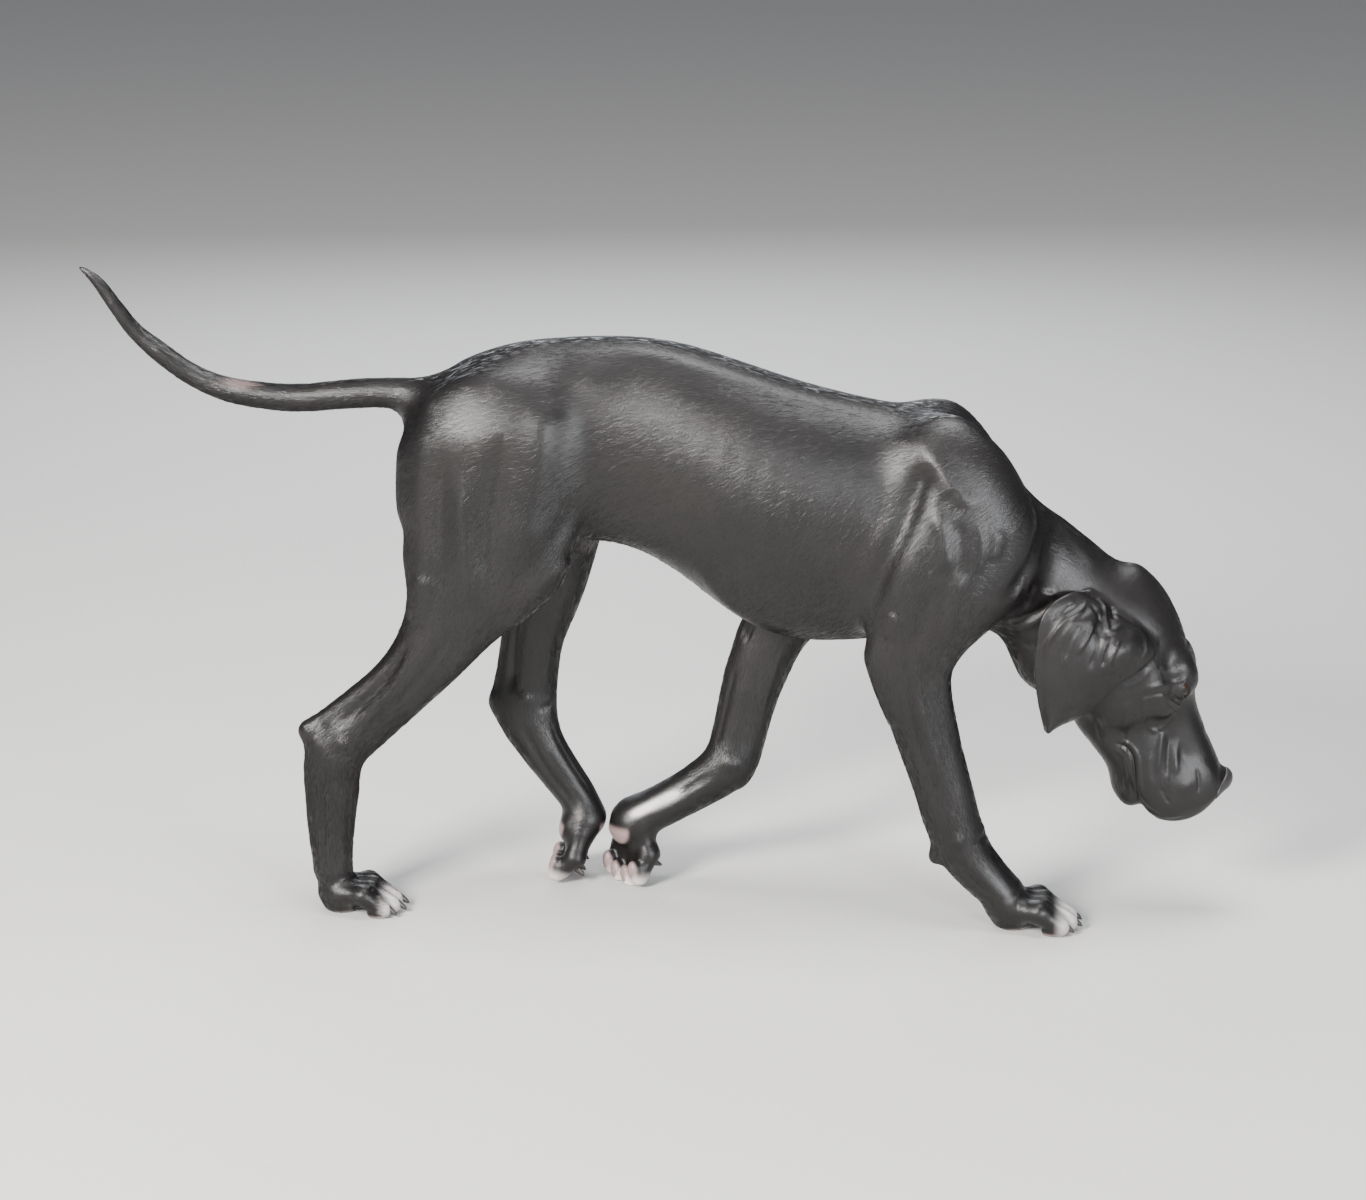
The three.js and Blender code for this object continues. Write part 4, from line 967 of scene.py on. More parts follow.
class Stroke:
    """A ridge, or with a height below zero a furrow, along a line on the skin."""

    def __init__(self, line, height, width, taper=0.25):
        self.line, self.height, self.width, self.taper = np.array(line), height, width, taper

    def lift(self, points):
        reach = 2.6 * self.width
        low, high = self.line.min(0) - reach, self.line.max(0) + reach
        index = np.flatnonzero(np.all((points > low) & (points < high), axis=1))
        if not len(index):
            return index, 0
        place = points[index]
        if len(self.line) == 1:
            away = np.linalg.norm(place - self.line[0], axis=1)
            return index, self.height * np.exp(-((away / self.width) ** 2))
        start, reach = self.line[:-1], np.diff(self.line, axis=0)
        square = np.maximum((reach**2).sum(1), 1e-9)
        best, share = np.full(len(place), np.inf), np.zeros(len(place))
        for n in range(len(start)):
            run = np.clip(((place - start[n]) @ reach[n]) / square[n], 0, 1)
            away = ((place - start[n] - run[:, None] * reach[n]) ** 2).sum(1)
            closer = away < best
            best[closer] = away[closer]
            share[closer] = (n + run[closer]) / len(start)
        fade = ramp(np.minimum(share, 1 - share), -0.02, self.taper)
        return index, self.height * fade * np.exp(-best / self.width**2)


surface = tree_of(shape)
strokes = []


def draw(pixels, height, width, mirror=True):
    """A stroke on the near side, and with mirror on the far side too."""
    line = seen(pixels)
    if len(line):
        strokes.append(Stroke(settled(line), height, width))
        if mirror:
            strokes.append(Stroke(settled(np.array(line) * [1, -1, 1]), height, width))


# On the trunk and the upper legs: pixels, height and width. Those of the near legs aren't mirrored.
for pixels, height, width in (
    ([(556, 396), (546, 426), (541, 458), (529, 522), (523, 575)], 5, 21),
    ([(465, 465), (462, 522), (466, 575), (469, 612)], 4, 12),
    ([(503, 430), (497, 480), (490, 540), (492, 600)], -4.5, 12),
    ([(445, 450), (440, 500), (440, 560), (434, 610)], -2.5, 9),
    ([(424, 430), (419, 500), (418, 570), (404, 640)], 2.5, 13),
    ([(592, 548), (566, 566), (540, 588), (518, 610)], 2, 10),
    ([(574, 490), (566, 520), (550, 546), (526, 574), (508, 600)], -2.4, 13),
    ([(590, 380)], 3, 30),
    ([(428, 404)], 3, 14),
    ([(516, 622)], 3, 18),
    ([(560, 352), (640, 352), (720, 372), (800, 396), (880, 414)], 2, 15),
    ([(926, 462), (918, 486), (904, 524), (880, 576), (866, 622)], -8, 15),
    ([(918, 436), (940, 470), (958, 496), (970, 512)], 3, 12),
    ([(943, 494), (952, 504), (962, 516)], -2.2, 11),
    ([(936, 508), (944, 544), (948, 574)], 3.5, 9),
    ([(958, 520), (962, 550), (958, 580)], -2, 6),
    ([(979, 520), (982, 552), (978, 578)], 2, 5),
    ([(1000, 528), (992, 562)], 2.5, 9),
    ([(964, 572), (952, 604), (948, 642)], 3, 8),
    ([(930, 590), (922, 622), (916, 650)], -2.5, 9),
    ([(895, 612), (888, 640)], 3, 12),
    ([(1030, 492), (1040, 530), (1027, 572), (1000, 606)], -5, 11),
    ([(690, 548), (715, 590), (750, 618), (818, 630), (850, 628)], 2.5, 14),
    ([(660, 560), (688, 592), (720, 616), (752, 636)], -2, 10),
    ([(868, 470), (855, 530), (838, 580)], 1.5, 16),
):
    across, down = zip(*pixels)
    draw(pixels, height, width, max(across) > 545 and min(down) < 560)

RIBS, FIRST_RIB, RIB_GAP = 8, 672, 25
for rib in range(RIBS):
    x = FIRST_RIB + RIB_GAP * rib
    draw([(x + 10, 424), (x - 4, 480), (x - 8, 530), (x + 4, 580)], 0.45, 8)

for pixels, height, width in (
    # On the neck and throat.
    ([(1027, 574), (1022, 588), (1013, 602)], 2, 4),
    ([(1033, 580), (1030, 596), (1022, 612)], -2, 4),
    ([(1031, 588), (1044, 594), (1058, 596)], 2.5, 5),
    ([(1003, 614), (1013, 621), (1040, 611), (1058, 598)], -4, 6),
    ([(1006, 622), (1018, 628), (1042, 620)], 2.5, 6),
    ([(1018, 640), (1030, 645), (1040, 640)], -1.5, 5),
    ([(1060, 520), (1046, 545), (1040, 570)], -1.5, 8),
    ([(1050, 510), (1076, 540), (1096, 566)], 1.5, 9),
    # On the ears.
    ([(1097, 597), (1104, 606), (1106, 620), (1110, 632), (1124, 624)], 2.6, 3.2),
    ([(1090, 604), (1098, 614), (1099, 624)], -1.6, 3),
    ([(1112, 606), (1114, 620)], -2.4, 3.2),
    ([(1095, 620), (1088, 637), (1077, 656)], 2.6, 3.6),
    ([(1101, 626), (1098, 648), (1090, 672)], -2.6, 5),
    ([(1084, 620), (1070, 640), (1062, 664)], -2.2, 5),
    ([(1089, 600), (1080, 611), (1066, 620), (1055, 633), (1046, 648), (1044, 670)], 2.2, 3),
    ([(1076, 602), (1063, 610), (1052, 622)], -1.8, 3),
    ([(1121, 639), (1113, 655), (1107, 671)], 2, 2.6),
    ([(1114, 637), (1106, 655), (1103, 668)], -2, 3),
    ([(1134, 626), (1143, 634), (1147, 650), (1138, 664)], 1.8, 5),
    ([(1060, 700), (1075, 706), (1090, 700)], 1.0, 7),
    # On the brow, the cheek, the muzzle and the lips.
    ([(1141, 691), (1154, 687), (1168, 684), (1182, 680), (1190, 679)], 1.5, 3.8),
    ([(1140, 698), (1156, 694), (1172, 691)], -1.4, 3.4),
    ([(1158, 666), (1170, 673), (1180, 675)], 0.8, 6),
    ([(1150, 668), (1140, 680), (1120, 690)], 1.2, 4),
    ([(1172, 694), (1177, 699), (1182, 702)], -1.2, 1.5),
    ([(1169, 698), (1175, 704), (1181, 707)], 1.1, 1.6),
    ([(1166, 701), (1173, 708), (1179, 712)], -1.0, 1.5),
    ([(1176, 712), (1165, 725), (1157, 731)], 1.5, 2.6),
    ([(1155, 706)], -2.2, 9),
    ([(1146, 694), (1144, 712), (1150, 728), (1160, 733)], 1.4, 3),
    ([(1102, 716), (1104, 726), (1106, 738)], 1.6, 2.6),
    ([(1096, 716), (1098, 730), (1101, 744)], -1.5, 3),
    ([(1135, 714)], 1.0, 1.8),
    ([(1137, 727)], 0.8, 1.6),
    ([(1127, 700), (1126, 716), (1128, 732)], 1.3, 5),
    ([(1163, 728), (1160, 750), (1157, 776)], 1.8, 4),
    ([(1170, 732), (1168, 756), (1168, 780)], -1.8, 3.6),
    ([(1178, 736), (1176, 758), (1177, 776)], 1.4, 4),
    ([(1161, 786), (1165, 796), (1170, 804)], -1.8, 2.8),
    ([(1186, 786)], 2.0, 10),
    ([(1170, 776), (1166, 786), (1170, 798)], -1.0, 2.5),
    ([(1196, 768), (1199, 780), (1198, 794)], -1.2, 2.5),
    ([(1150, 750), (1148, 770), (1152, 790)], 1.0, 5),
    ([(1113, 742), (1126, 748), (1133, 760), (1135, 785), (1138, 801)], -2.6, 2.2),
    ([(1119, 740), (1131, 745), (1138, 758), (1140, 784), (1143, 800)], 1.2, 2.6),
    ([(1112, 748), (1121, 754), (1127, 764), (1129, 785), (1131, 799)], 1.0, 2.4),
    ([(1117, 772), (1119, 786), (1124, 796)], 0.9, 2),
    ([(1124, 774), (1125, 790)], -0.9, 2),
    ([(1138, 801), (1150, 812), (1168, 817), (1190, 814)], 0.9, 3),
    ([(1203, 716), (1208, 740)], -0.8, 5),
):
    draw(pixels, height, width)

# Down the middle of the forehead and the bridge of the muzzle: the head's frame.
for line, height, width in (
    ([(40, 0, 60), (90, 0, 60), (128, 0, 50), (150, 0, 40)], -1.6, 7),
    ([(170, 0, 40), (220, 0, 36), (270, 0, 30)], -0.8, 5),
    ([(335, 0, -6), (325, 0, -30), (312, 0, -60)], -1.2, 1.6),
):
    strokes.append(Stroke(settled(dense(HEAD.out(line))), height, width))

# Landmarks of the legs' tables: hip, stifle, hock and toes, or shoulder, elbow, wrist and toes.
LEG_MARKS = {
    "hind_right": [0, 3.3, 8, 11],
    "hind_left": [0, 2.8, 7, 11],
    "fore_right": [0, 4, 9.3, 12],
    "fore_left": [0, 4, 10.2, 13],
}
# Strokes down the legs: (joint, degrees round from the front towards the outside), height and width.
HIND_STROKES = (
    ([(1.3, 140), (1.6, 138), (1.92, 132)], -4, 7),
    ([(1.3, 220), (1.6, 222), (1.92, 228)], -4, 7),
    ([(0.95, 150), (1.25, 155)], 3.5, 16),
    ([(0.95, 212), (1.25, 205)], 3, 16),
    ([(1.1, 35), (1.4, 30), (1.75, 15)], 2, 9),
    ([(1.1, 75), (1.45, 72), (1.85, 65)], -1.6, 6),
    ([(1.05, 318), (1.5, 320), (1.9, 320)], 1.4, 6),
    ([(1.93, 90)], 2.6, 8),
    ([(1.93, 270)], 2.6, 8),
    ([(2.06, 110), (2.4, 112), (2.88, 105)], -3, 5),
    ([(2.06, 250), (2.4, 248), (2.88, 255)], -3, 5),
    ([(2.05, 180), (2.5, 180), (2.85, 180)], 1.5, 6),
    ([(2.08, 0), (2.5, 4), (2.9, 8)], 1.2, 3.5),
    ([(2.08, 32), (2.5, 30), (2.9, 26)], -1.1, 3.5),
    ([(2.08, 328), (2.5, 330), (2.9, 334)], -1.1, 3.5),
    ([(1.97, 55), (1.75, 90), (1.5, 120), (1.25, 150)], 0.9, 2.4),
    ([(2.0, 15), (2.03, 50)], -1.2, 4),
    ([(2.02, 310), (2.0, 345)], -1.2, 4),
)
FORE_STROKES = (
    ([(1.05, 25), (1.3, 20), (1.6, 12)], 2.6, 11),
    ([(1.1, 62), (1.4, 58), (1.8, 48)], -1.6, 5),
    ([(1.1, 85), (1.4, 84), (1.8, 80)], 1.5, 7),
    ([(1.0, 118), (1.4, 112), (1.85, 108)], -2.4, 6),
    ([(1.02, 160), (1.25, 165), (1.5, 172)], 3, 12),
    ([(1.05, 240), (1.4, 245), (1.85, 250)], -2, 6),
    ([(1.1, 330), (1.5, 335), (1.95, 340)], 1.0, 2.6),
    ([(1.3, 300), (1.6, 318), (1.8, 332)], 0.9, 2.4),
    ([(1.45, 180), (1.7, 180), (1.93, 180)], 1.8, 5),
    ([(1.5, 150), (1.92, 148)], -1.8, 4.5),
    ([(1.5, 212), (1.92, 212)], -1.8, 4.5),
    ([(1.96, 90)], 2.2, 8),
    ([(1.96, 270)], 2.2, 8),
    ([(2.0, 0)], 1.6, 11),
    ([(2.08, 300), (2.1, 0), (2.08, 60)], -1.3, 4),
    ([(2.12, 22), (2.5, 20), (2.9, 16)], -1.0, 3.5),
    ([(2.12, 338), (2.5, 340), (2.9, 344)], -1.0, 3.5),
    ([(2.1, 112), (2.5, 110), (2.85, 105)], -2.2, 4.5),
    ([(2.1, 248), (2.5, 250), (2.85, 255)], -2.2, 4.5),
)
LEG_REACH = 100  # farthest that a leg's skin lies from its middle


def down_leg(name, marks):
    """Places on a leg's skin, from joints and degrees."""
    tube, table = LEG_TUBES[name], np.array(LEG_TABLES[name], float)
    outward = 1 if "right" in name else -1
    row = np.interp([joint for joint, _ in marks], range(4), LEG_MARKS[name])
    run = np.concatenate([[0], np.cumsum(np.linalg.norm(np.diff(table[:, :3], axis=0), axis=1))])
    line = []
    for along, (_, degrees) in zip(np.interp(row, range(len(run)), run), marks):
        link = min(np.searchsorted(tube.begun, along, side="right") - 1, len(tube.length) - 1)
        middle = tube.start[link, :3] + (along - tube.begun[link]) * tube.tangent[link]
        turn = math.radians(degrees)
        ray = math.cos(turn) * tube.deep[link] + math.sin(turn) * tube.side[link] * outward
        hit = surface.ray_cast(Vector(middle), Vector(ray), LEG_REACH)[0]
        if hit is not None:
            line.append(np.array(hit))
    return line


for name in PAWS:
    for marks, height, width in HIND_STROKES if name.startswith("hind") else FORE_STROKES:
        line = down_leg(name, marks)
        if len(line) == len(marks):
            strokes.append(Stroke(settled(dense(line, 4)), height, width))
    paw = PAWS[name]
    # Furrows between the toes, and creases over the knuckles.
    for across in (-20, 0, 20):
        line = [paw.out(np.array([along, across * (0.75 + along / 250), 62 - 0.38 * along]) * paw.size)
                for along in (20, 45, 70, 84)]
        strokes.append(Stroke(settled(dense(line)), -2.6, 3.6, 0.15))
    for across, length in TOES:
        line = [paw.out(np.array([62 * length, across + sideways, 46]) * paw.size)
                for sideways in (-9, 0, 9)]
        strokes.append(Stroke(settled(dense(line)), -0.8, 2.6))

points, normals = read(shape), read(shape, "normal")
lift = np.zeros(len(points))
for stroke in strokes:
    index, height = stroke.lift(points)
    lift[index] += height
points = opened(points + normals * lift[:, None])
points[:, 2] = np.maximum(points[:, 2], FLOOR_GAP)
write(shape, points)

# Markings.
PAW_MIDDLE = [35, 0, 20]
PAW_REACH = 130  # from a paw's origin to the farthest hair that follows the toes


def own_paw(points):
    """The name of each point's paw, or none where it is on no paw."""
    places = {name: paw.into(points) / paw.size - PAW_MIDDLE for name, paw in PAWS.items()}
    away = np.stack([np.linalg.norm(place, axis=1) for place in places.values()])
    nearest = away.argmin(0)
    names = np.array(list(places))[nearest]
    behind = np.stack([place[:, 0] for place in places.values()])[nearest, np.arange(len(points))]
    return np.where((away.min(0) < 80) & (behind > -24 - PAW_MIDDLE[0]), names, "none")


# The white stripe along the far fore foot.
STRIPE = Stroke(settled(seen([(628, 817), (655, 804), (686, 789)])), 0.9, 4.5)


def tuck(points, top, rear, front):
    """How far points lie under the belly where it tucks up, between levels and places given as pairs."""
    x, y, z = points.T
    belly = np.interp(x, TORSO[:, 0], TORSO[:, 2])
    level = ramp(z, belly + top[0], belly + top[1]) * ramp(z, belly - 30, belly - 14)
    return level * ramp(x, *rear) * ramp(x, *front) * (abs(y) < 60)


def marks(points):
    """How white, how pink and how pale the coat or the skin is."""
    white, pink = np.zeros(len(points)), np.zeros(len(points))
    foot = own_paw(points)
    for name, paw in PAWS.items():
        place = paw.into(points) / paw.size
        near = foot == name
        tips = ramp(place[:, 0], 56, 76) * (place[:, 2] > 2)
        white = np.maximum(white, near * tips * (0.85 if name.endswith("left") else 0.6))
        pads = near * ramp(place[:, 2], 9, 4) * ramp(place[:, 2], -12, -8) * ramp(place[:, 0], -4, 6)
        pink = np.maximum(pink, pads)
    index, amount = STRIPE.lift(points)
    white[index] = np.maximum(white[index], np.minimum(2 * amount, 0.9))
    bare_tail = np.linalg.norm((points - [-540, -12, 668]) / [26, 16, 10], axis=1)
    pink = np.maximum(pink, 0.5 * ramp(bare_tail, 1.2, 0.5))
    pale = 0.5 * tuck(points, (14, 0), (-135, -100), (10, -50))
    return np.stack([white, pink, pale], 1)


add_attribute(skin, "marks", marks(read(shape)))

# The coat of short tufts along the body.


def towards(value):
    return value / np.maximum(np.linalg.norm(value, axis=1), 1e-9)[:, None]


def blended(one, other, share):
    return one + (other - one) * share[:, None]


def part_of(points):
    """The part that each point belongs to: a name for each."""
    names = np.full(len(points), "torso_right", dtype="U12")
    names[points[:, 1] > 0] = "torso_left"
    a = HEAD.into(points)[:, 0]
    neck_link = (points[:, 0] - 375) * 0.79 - (points[:, 2] - 480) * 0.62
    names[(neck_link > 0) & (points[:, 0] > 370)] = "neck"
    back = np.flatnonzero((points[:, 0] < -300) & (points[:, 2] > 600))
    names[back[tail_tube.distance(points[back]) < 5]] = "tail"
    for name, tube in LEG_TUBES.items():
        front = name.startswith("fore")
        near = points[:, 2] < (430 if front else 450)
        index = np.flatnonzero(near & (points[:, 1] * (RIGHT if "right" in name else LEFT) > -4))
        own = tube.distance(points[index])
        paw = np.linalg.norm(PAWS[name].into(points[index]), axis=1) < PAW_REACH
        names[index[(own < 9) | paw]] = name
    names[(points[:, 0] > HEAD_START) & (a > -40)] = "head"
    names[on_ear(points)] = "ears"
    return names


def on_ear(points):
    """Points on the ears' leather, away from the head."""
    ear = np.zeros(len(points), bool)
    beside = (abs(points[:, 1]) > 52) & (points[:, 0] > FACE_START) & (points[:, 2] > 240)
    index = np.flatnonzero(beside)
    for form in EARS:
        own = index[points[index, 1] * form.side > 0]
        if len(own):
            ear[own[form.distance(points[own]) < 2.5]] = True
    return ear


def lie_of(points, names):
    """Which way the hair lies: from the nose to the tail, and down the legs."""
    lie = np.tile([-1.0, 0, -0.28], (len(points), 1))
    low = ramp(points[:, 2], 620, 470)
    lie[:, 2] -= 1.1 * low
    lie[names == "neck"] = [-0.8, 0, 0.25]
    lie[names == "head"] = HEAD.turn @ np.array([-1, 0, 0])
    lie[names == "ears"] = [-0.35, 0, -1]
    tail = np.flatnonzero(names == "tail")
    lie[tail] = tail_tube.chart(points[tail])[3]
    for name, tube in LEG_TUBES.items():
        leg = np.flatnonzero(names == name)
        down = tube.chart(points[leg])[3]
        share = ramp(points[leg, 2], 470, 330)
        toes = PAWS[name].into(points[leg])
        paw = ramp(toes[:, 0], 0, 40) * (toes[:, 2] < 70) * (np.linalg.norm(toes, axis=1) < PAW_REACH)
        lie[leg] = blended(blended(towards(lie[leg]), down, share), PAWS[name].turn[:, 0][None], paw)
    return towards(lie)


PART_TUBES = {"neck": neck_tube, "tail": tail_tube, **LEG_TUBES}


def round_share(across, along):
    """How far round a part an offset points, from 0 to 1."""
    return np.arctan2(across, along) / (2 * math.pi) + 0.5


def chart_of(name, points):
    """A part's skin laid out flat between 0 and 1: round it, and along it."""
    if name == "ears":
        right, outer = points[:, 1] < 0, abs(points[:, 1]) > 70
        u = (points[:, 0] - HEAD_START) / 170
        v = (points[:, 2] - 245) / 200
        return 0.01 + 0.48 * u + 0.5 * right, 0.01 + 0.48 * v + 0.5 * outer
    if name == "head":
        a, b, c = HEAD.into(points).T
        return round_share(b, c + 50), (a + 60) / 400
    if name.startswith("torso"):
        middle = np.interp(points[:, 0], TORSO[:, 0], (TORSO[:, 1] + TORSO[:, 2]) / 2)
        return round_share(points[:, 1], points[:, 2] - middle), (points[:, 0] + 340) / 760
    tube = PART_TUBES[name]
    run, across, along, _ = tube.chart(points)
    whole = tube.begun[-1] + tube.length[-1]
    if name in PAWS:
        toes = PAWS[name].into(points)
        run = run + np.maximum(toes[:, 0] - 20, 0) * (np.linalg.norm(toes, axis=1) < PAW_REACH)
        whole += 90
    return round_share(across, along), run / whole


HAIR_LENGTH, HAIR_WIDTH = 9.0, 0.9  # of the fine streaks between the tufts


def strands_of(name, points):
    """Places along and across the lie of the hair, in streaks."""
    if name in PART_TUBES:
        run, across, along, _ = PART_TUBES[name].chart(points)
    else:
        lie = lie_of(points[:1], np.array([name]))[0]
        one = np.cross(lie, [0, 1, 0])
        one /= np.linalg.norm(one)
        run, across, along = points @ lie, points @ one, points @ np.cross(lie, one)
    return np.stack([run / HAIR_LENGTH, across / HAIR_WIDTH, along / HAIR_WIDTH], 1)


def add_strands(piece, name=None):
    """The streaks' places for each corner of a piece's faces, by part."""
    mesh = piece.data
    owner = listed(mesh.loops, "vertex_index", np.int32)
    points = read(mesh)
    if name:
        values = strands_of(name, points)[owner]
    else:
        total = listed(mesh.polygons, "loop_total", np.int32)
        start = np.concatenate([[0], np.cumsum(total)[:-1]])
        names = np.repeat(part_of(points[owner[start]]), total)
        values = np.empty((len(owner), 3))
        for part in TUFTS:
            own = np.flatnonzero(names == part)
            if len(own):
                used, back = np.unique(owner[own], return_inverse=True)
                values[own] = strands_of(part, points[used])[back]
    attribute = mesh.attributes.new("strand", "FLOAT_VECTOR", "CORNER")
    attribute.data.foreach_set("vector", values.astype(np.float32).ravel())


# Tuft sizes by part: length, width, lift and tufts for each square centimetre of skin.
TUFTS = {
    "torso_right": (15, 1.7, 0.4, 6.2), "torso_left": (15, 1.7, 0.4, 6.2), "neck": (14, 1.6, 0.4, 6.5),
    "tail": (13, 1.4, 0.5, 8), "head": (6.5, 0.9, 0.2, 11), "ears": (7, 0.9, 0.2, 9),
    "hind_right": (12, 1.5, 0.45, 7), "hind_left": (12, 1.5, 0.45, 7),
    "fore_right": (11, 1.4, 0.4, 7.5), "fore_left": (11, 1.4, 0.4, 7.5),
}


def fringe(points):
    """Where the coat is longer: at the belly's tuck, the backs of the thighs and the tail."""
    x, y, z = points.T
    belly = tuck(points, (22, 4), (-150, -100), (60, -20))
    seat = 0.35 * ramp(x, -300, -325) * ramp(z, 380, 420) * ramp(z, 600, 560) * (abs(y) > 12)
    tail = 0.4 * (x < -330) * ramp(x, -760, -640)
    return np.maximum(np.maximum(belly, seat), tail)


def foot_share(points):
    """From 0 up the leg to 1 on the toes."""
    share = np.zeros(len(points))
    for paw in PAWS.values():
        place = paw.into(points)
        near = ramp(np.linalg.norm(place * [0.75, 1, 1], axis=1), 120, 70)
        share = np.maximum(share, near)
    return share


def bare(points):
    """Where no hair grows: the nose, the eyes and the pads."""
    a, _, c = HEAD.into(points).T
    away = (points[:, 0] > FACE_START) & ((eye_distance(points) < 17.5) | ((a > 284) & (c > -14)))
    foot = own_paw(points)
    for name, paw in PAWS.items():
        away |= (foot == name) & (paw.into(points)[:, 2] < 8)
    return away | (points[:, 2] < 4)


def scattered(mesh):
    """Roots on the skin, with their normals and their parts, as thick as each part's coat."""
    mesh.calc_loop_triangles()
    triangles = listed(mesh.loop_triangles, "vertices", np.int32, 3)
    points, normals = read(mesh), read(mesh, "normal")
    a, b, c = (points[triangles[:, n]] for n in range(3))
    area = np.linalg.norm(np.cross(b - a, c - a), axis=1) / 2
    names = part_of((a + b + c) / 3)
    thickness = np.zeros(len(area))
    for name, (_, _, _, count) in TUFTS.items():
        thickness[names == name] = count / 100
    thickness *= 1 + 1.2 * fringe((a + b + c) / 3)
    expected = area * thickness
    count = (expected + random.random(len(expected))).astype(int)
    chosen = np.repeat(np.arange(len(triangles)), count)
    one, two = random.random(len(chosen)), random.random(len(chosen))
    turned = one + two > 1
    one[turned], two[turned] = 1 - one[turned], 1 - two[turned]
    shares = np.stack([1 - one - two, one, two], 1)
    roots, facing = (sum(values[triangles[chosen, n]] * shares[:, n:n + 1] for n in range(3))
                     for values in (points, normals))
    keep = ~bare(roots)
    return roots[keep], towards(facing[keep]), names[chosen][keep]


def followed(points, lift):
    """Points set on the skin, at a height over it, and the skin's normals there."""
    places = np.empty_like(points)
    normals = np.empty_like(points)
    find = surface.find_nearest
    for n, point in enumerate(points.tolist()):
        places[n], normals[n] = find(point)[:2]
    return places + normals * lift[:, None], normals


BLADE_POINTS = 7


def grown(roots, normals, names):
    """Closed blades of ten triangles, and the normals that make them shine as the skin does.

    A blade has a sunk root of three points, three more at its middle on the skin, and a tip.
    """
    count = len(roots)
    length, width, lift = (np.array([TUFTS[name][n] for name in TUFTS]) for n in range(3))
    order = {name: n for n, name in enumerate(TUFTS)}
    part = np.array([order[name] for name in names])
    shag, foot = fringe(roots), foot_share(roots)
    a = HEAD.into(roots)[:, 0]
    face = ramp(a, 40, 200) * (roots[:, 0] > FACE_START)
    small = 1 - 0.45 * np.maximum(face, foot)
    length = length[part] * (1 + 0.6 * shag) * small * (0.75 + 0.5 * random.random(count))
    width = width[part] * small * (0.8 + 0.4 * random.random(count))
    lift = lift[part] * small * (0.5 + random.random(count)) * (1 + 2.6 * shag)
    lie = lie_of(roots, names)
    lie = lie - normals * (lie * normals).sum(1)[:, None]
    lie = towards(lie)
    side = np.cross(normals, lie)
    sway = random.normal(0, 0.14, count)
    curl = random.normal(0, 0.12, count)
    mid = roots + (lie + side * sway[:, None]) * (0.5 * length)[:, None]
    mid, mid_normals = followed(mid, 0.5 * lift)
    tip = mid + (lie + side * (sway + curl)[:, None]) * (0.5 * length)[:, None]
    tip, tip_normals = followed(tip, lift)
    blades = np.empty((count, BLADE_POINTS, 3))
    rings = ((roots, normals, 0.8, 0.7), (mid, mid_normals, 1, 0.35))
    for ring, (middle, up, scale, sink) in enumerate(rings):
        half = side * (width * scale / 2)[:, None]
        blades[:, 3 * ring] = middle - half - up * sink
        blades[:, 3 * ring + 1] = middle + half - up * sink
        blades[:, 3 * ring + 2] = middle + up * (width * 0.16 - 0.5 * sink * (ring == 0))[:, None]
    blades[:, 6] = tip
    tilt = 0.07 * random.normal(0, 1, (count, 1))
    shine = np.stack([normals] * 3 + [mid_normals] * 3 + [tip_normals], 1)
    dip = np.array([0, 0, 0, 1, 1, 1, 2])[None, :, None]
    shine = shine + (side * tilt)[:, None] + 0.05 * lie[:, None] * dip
    for corner, lean in ((0, -0.13), (1, 0.13), (3, -0.13), (4, 0.13)):
        shine[:, corner] += lean * side
    return blades, towards(shine.reshape(-1, 3)).reshape(-1, BLADE_POINTS, 3)


BLADE_FACES = np.array([
    [0, 2, 1], [0, 1, 4], [0, 4, 3], [1, 2, 5], [1, 5, 4], [2, 0, 3], [2, 3, 5],
    [3, 4, 6], [4, 5, 6], [5, 3, 6],
])
PATCH = 0.003  # of a blade on the map of its part
BLADE_PATCH = np.array([[0, 0], [1, 0], [0.5, 0.1], [0, 0.5], [1, 0.5], [0.5, 0.6], [0.5, 1]])
BLADE_PATCH = (BLADE_PATCH - 0.5) * PATCH

add_strands(skin)
surface = tree_of(shape)
roots, root_normals, root_parts = scattered(shape)
blades, shine = grown(roots, root_normals, root_parts)
for part in TUFTS:
    own = np.flatnonzero(root_parts == part)
    numbers = np.arange(len(own))[:, None, None]
    faces = (BLADE_FACES[None] + BLADE_POINTS * numbers).reshape(-1, 3)
    tufts = piece_of("coat_" + part, blades[own].reshape(-1, 3), faces, [], "coat", coat)
    tufts.data.normals_split_custom_set_from_vertices(shine[own].reshape(-1, 3).tolist())
    add_attribute(tufts, "marks", np.repeat(marks(roots[own]), BLADE_POINTS, axis=0))
    place = np.stack(chart_of(part, roots[own]), 1)
    spots = (place[:, None] + BLADE_PATCH[None])[numbers, BLADE_FACES[None]]
    add_strands(tufts, part)
    layer = tufts.data.uv_layers.new(name="OFBake")
    layer.data.foreach_set("uv", np.clip(spots, 0, 1).astype(np.float32).ravel())

# The nose.


def nose_value(points):
    """The leather of the nose: the end of the muzzle, a little proud, behind a slanting rim."""
    inside = fold(np.full(len(points), FAR), HEAD_FORMS, points) - 0.25
    a, b, c = HEAD.into(points).T
    behind = 287 + 0.012 * b * b - a
    under = -12 - c + 0.006 * b * b
    rim = -smooth_min(-behind, -under, 14)
    inside = -smooth_min(-inside, -rim, 2.2)
    return fold(inside, NOSTRIL_FORMS, points, 12)


low, high = (np.array(corner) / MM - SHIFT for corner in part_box("nose"))
nose_grid = [spaced([(low[n] - 4, 0.8), (high[n] + 4, 1)]) for n in range(3)]
nose = piece_of("nose_leather", *net(nose_value, *nose_grid), ["nose"], "nose_leather", leather)
write(nose.data, spread(nose.data, read(nose.data), 3, 0.5))

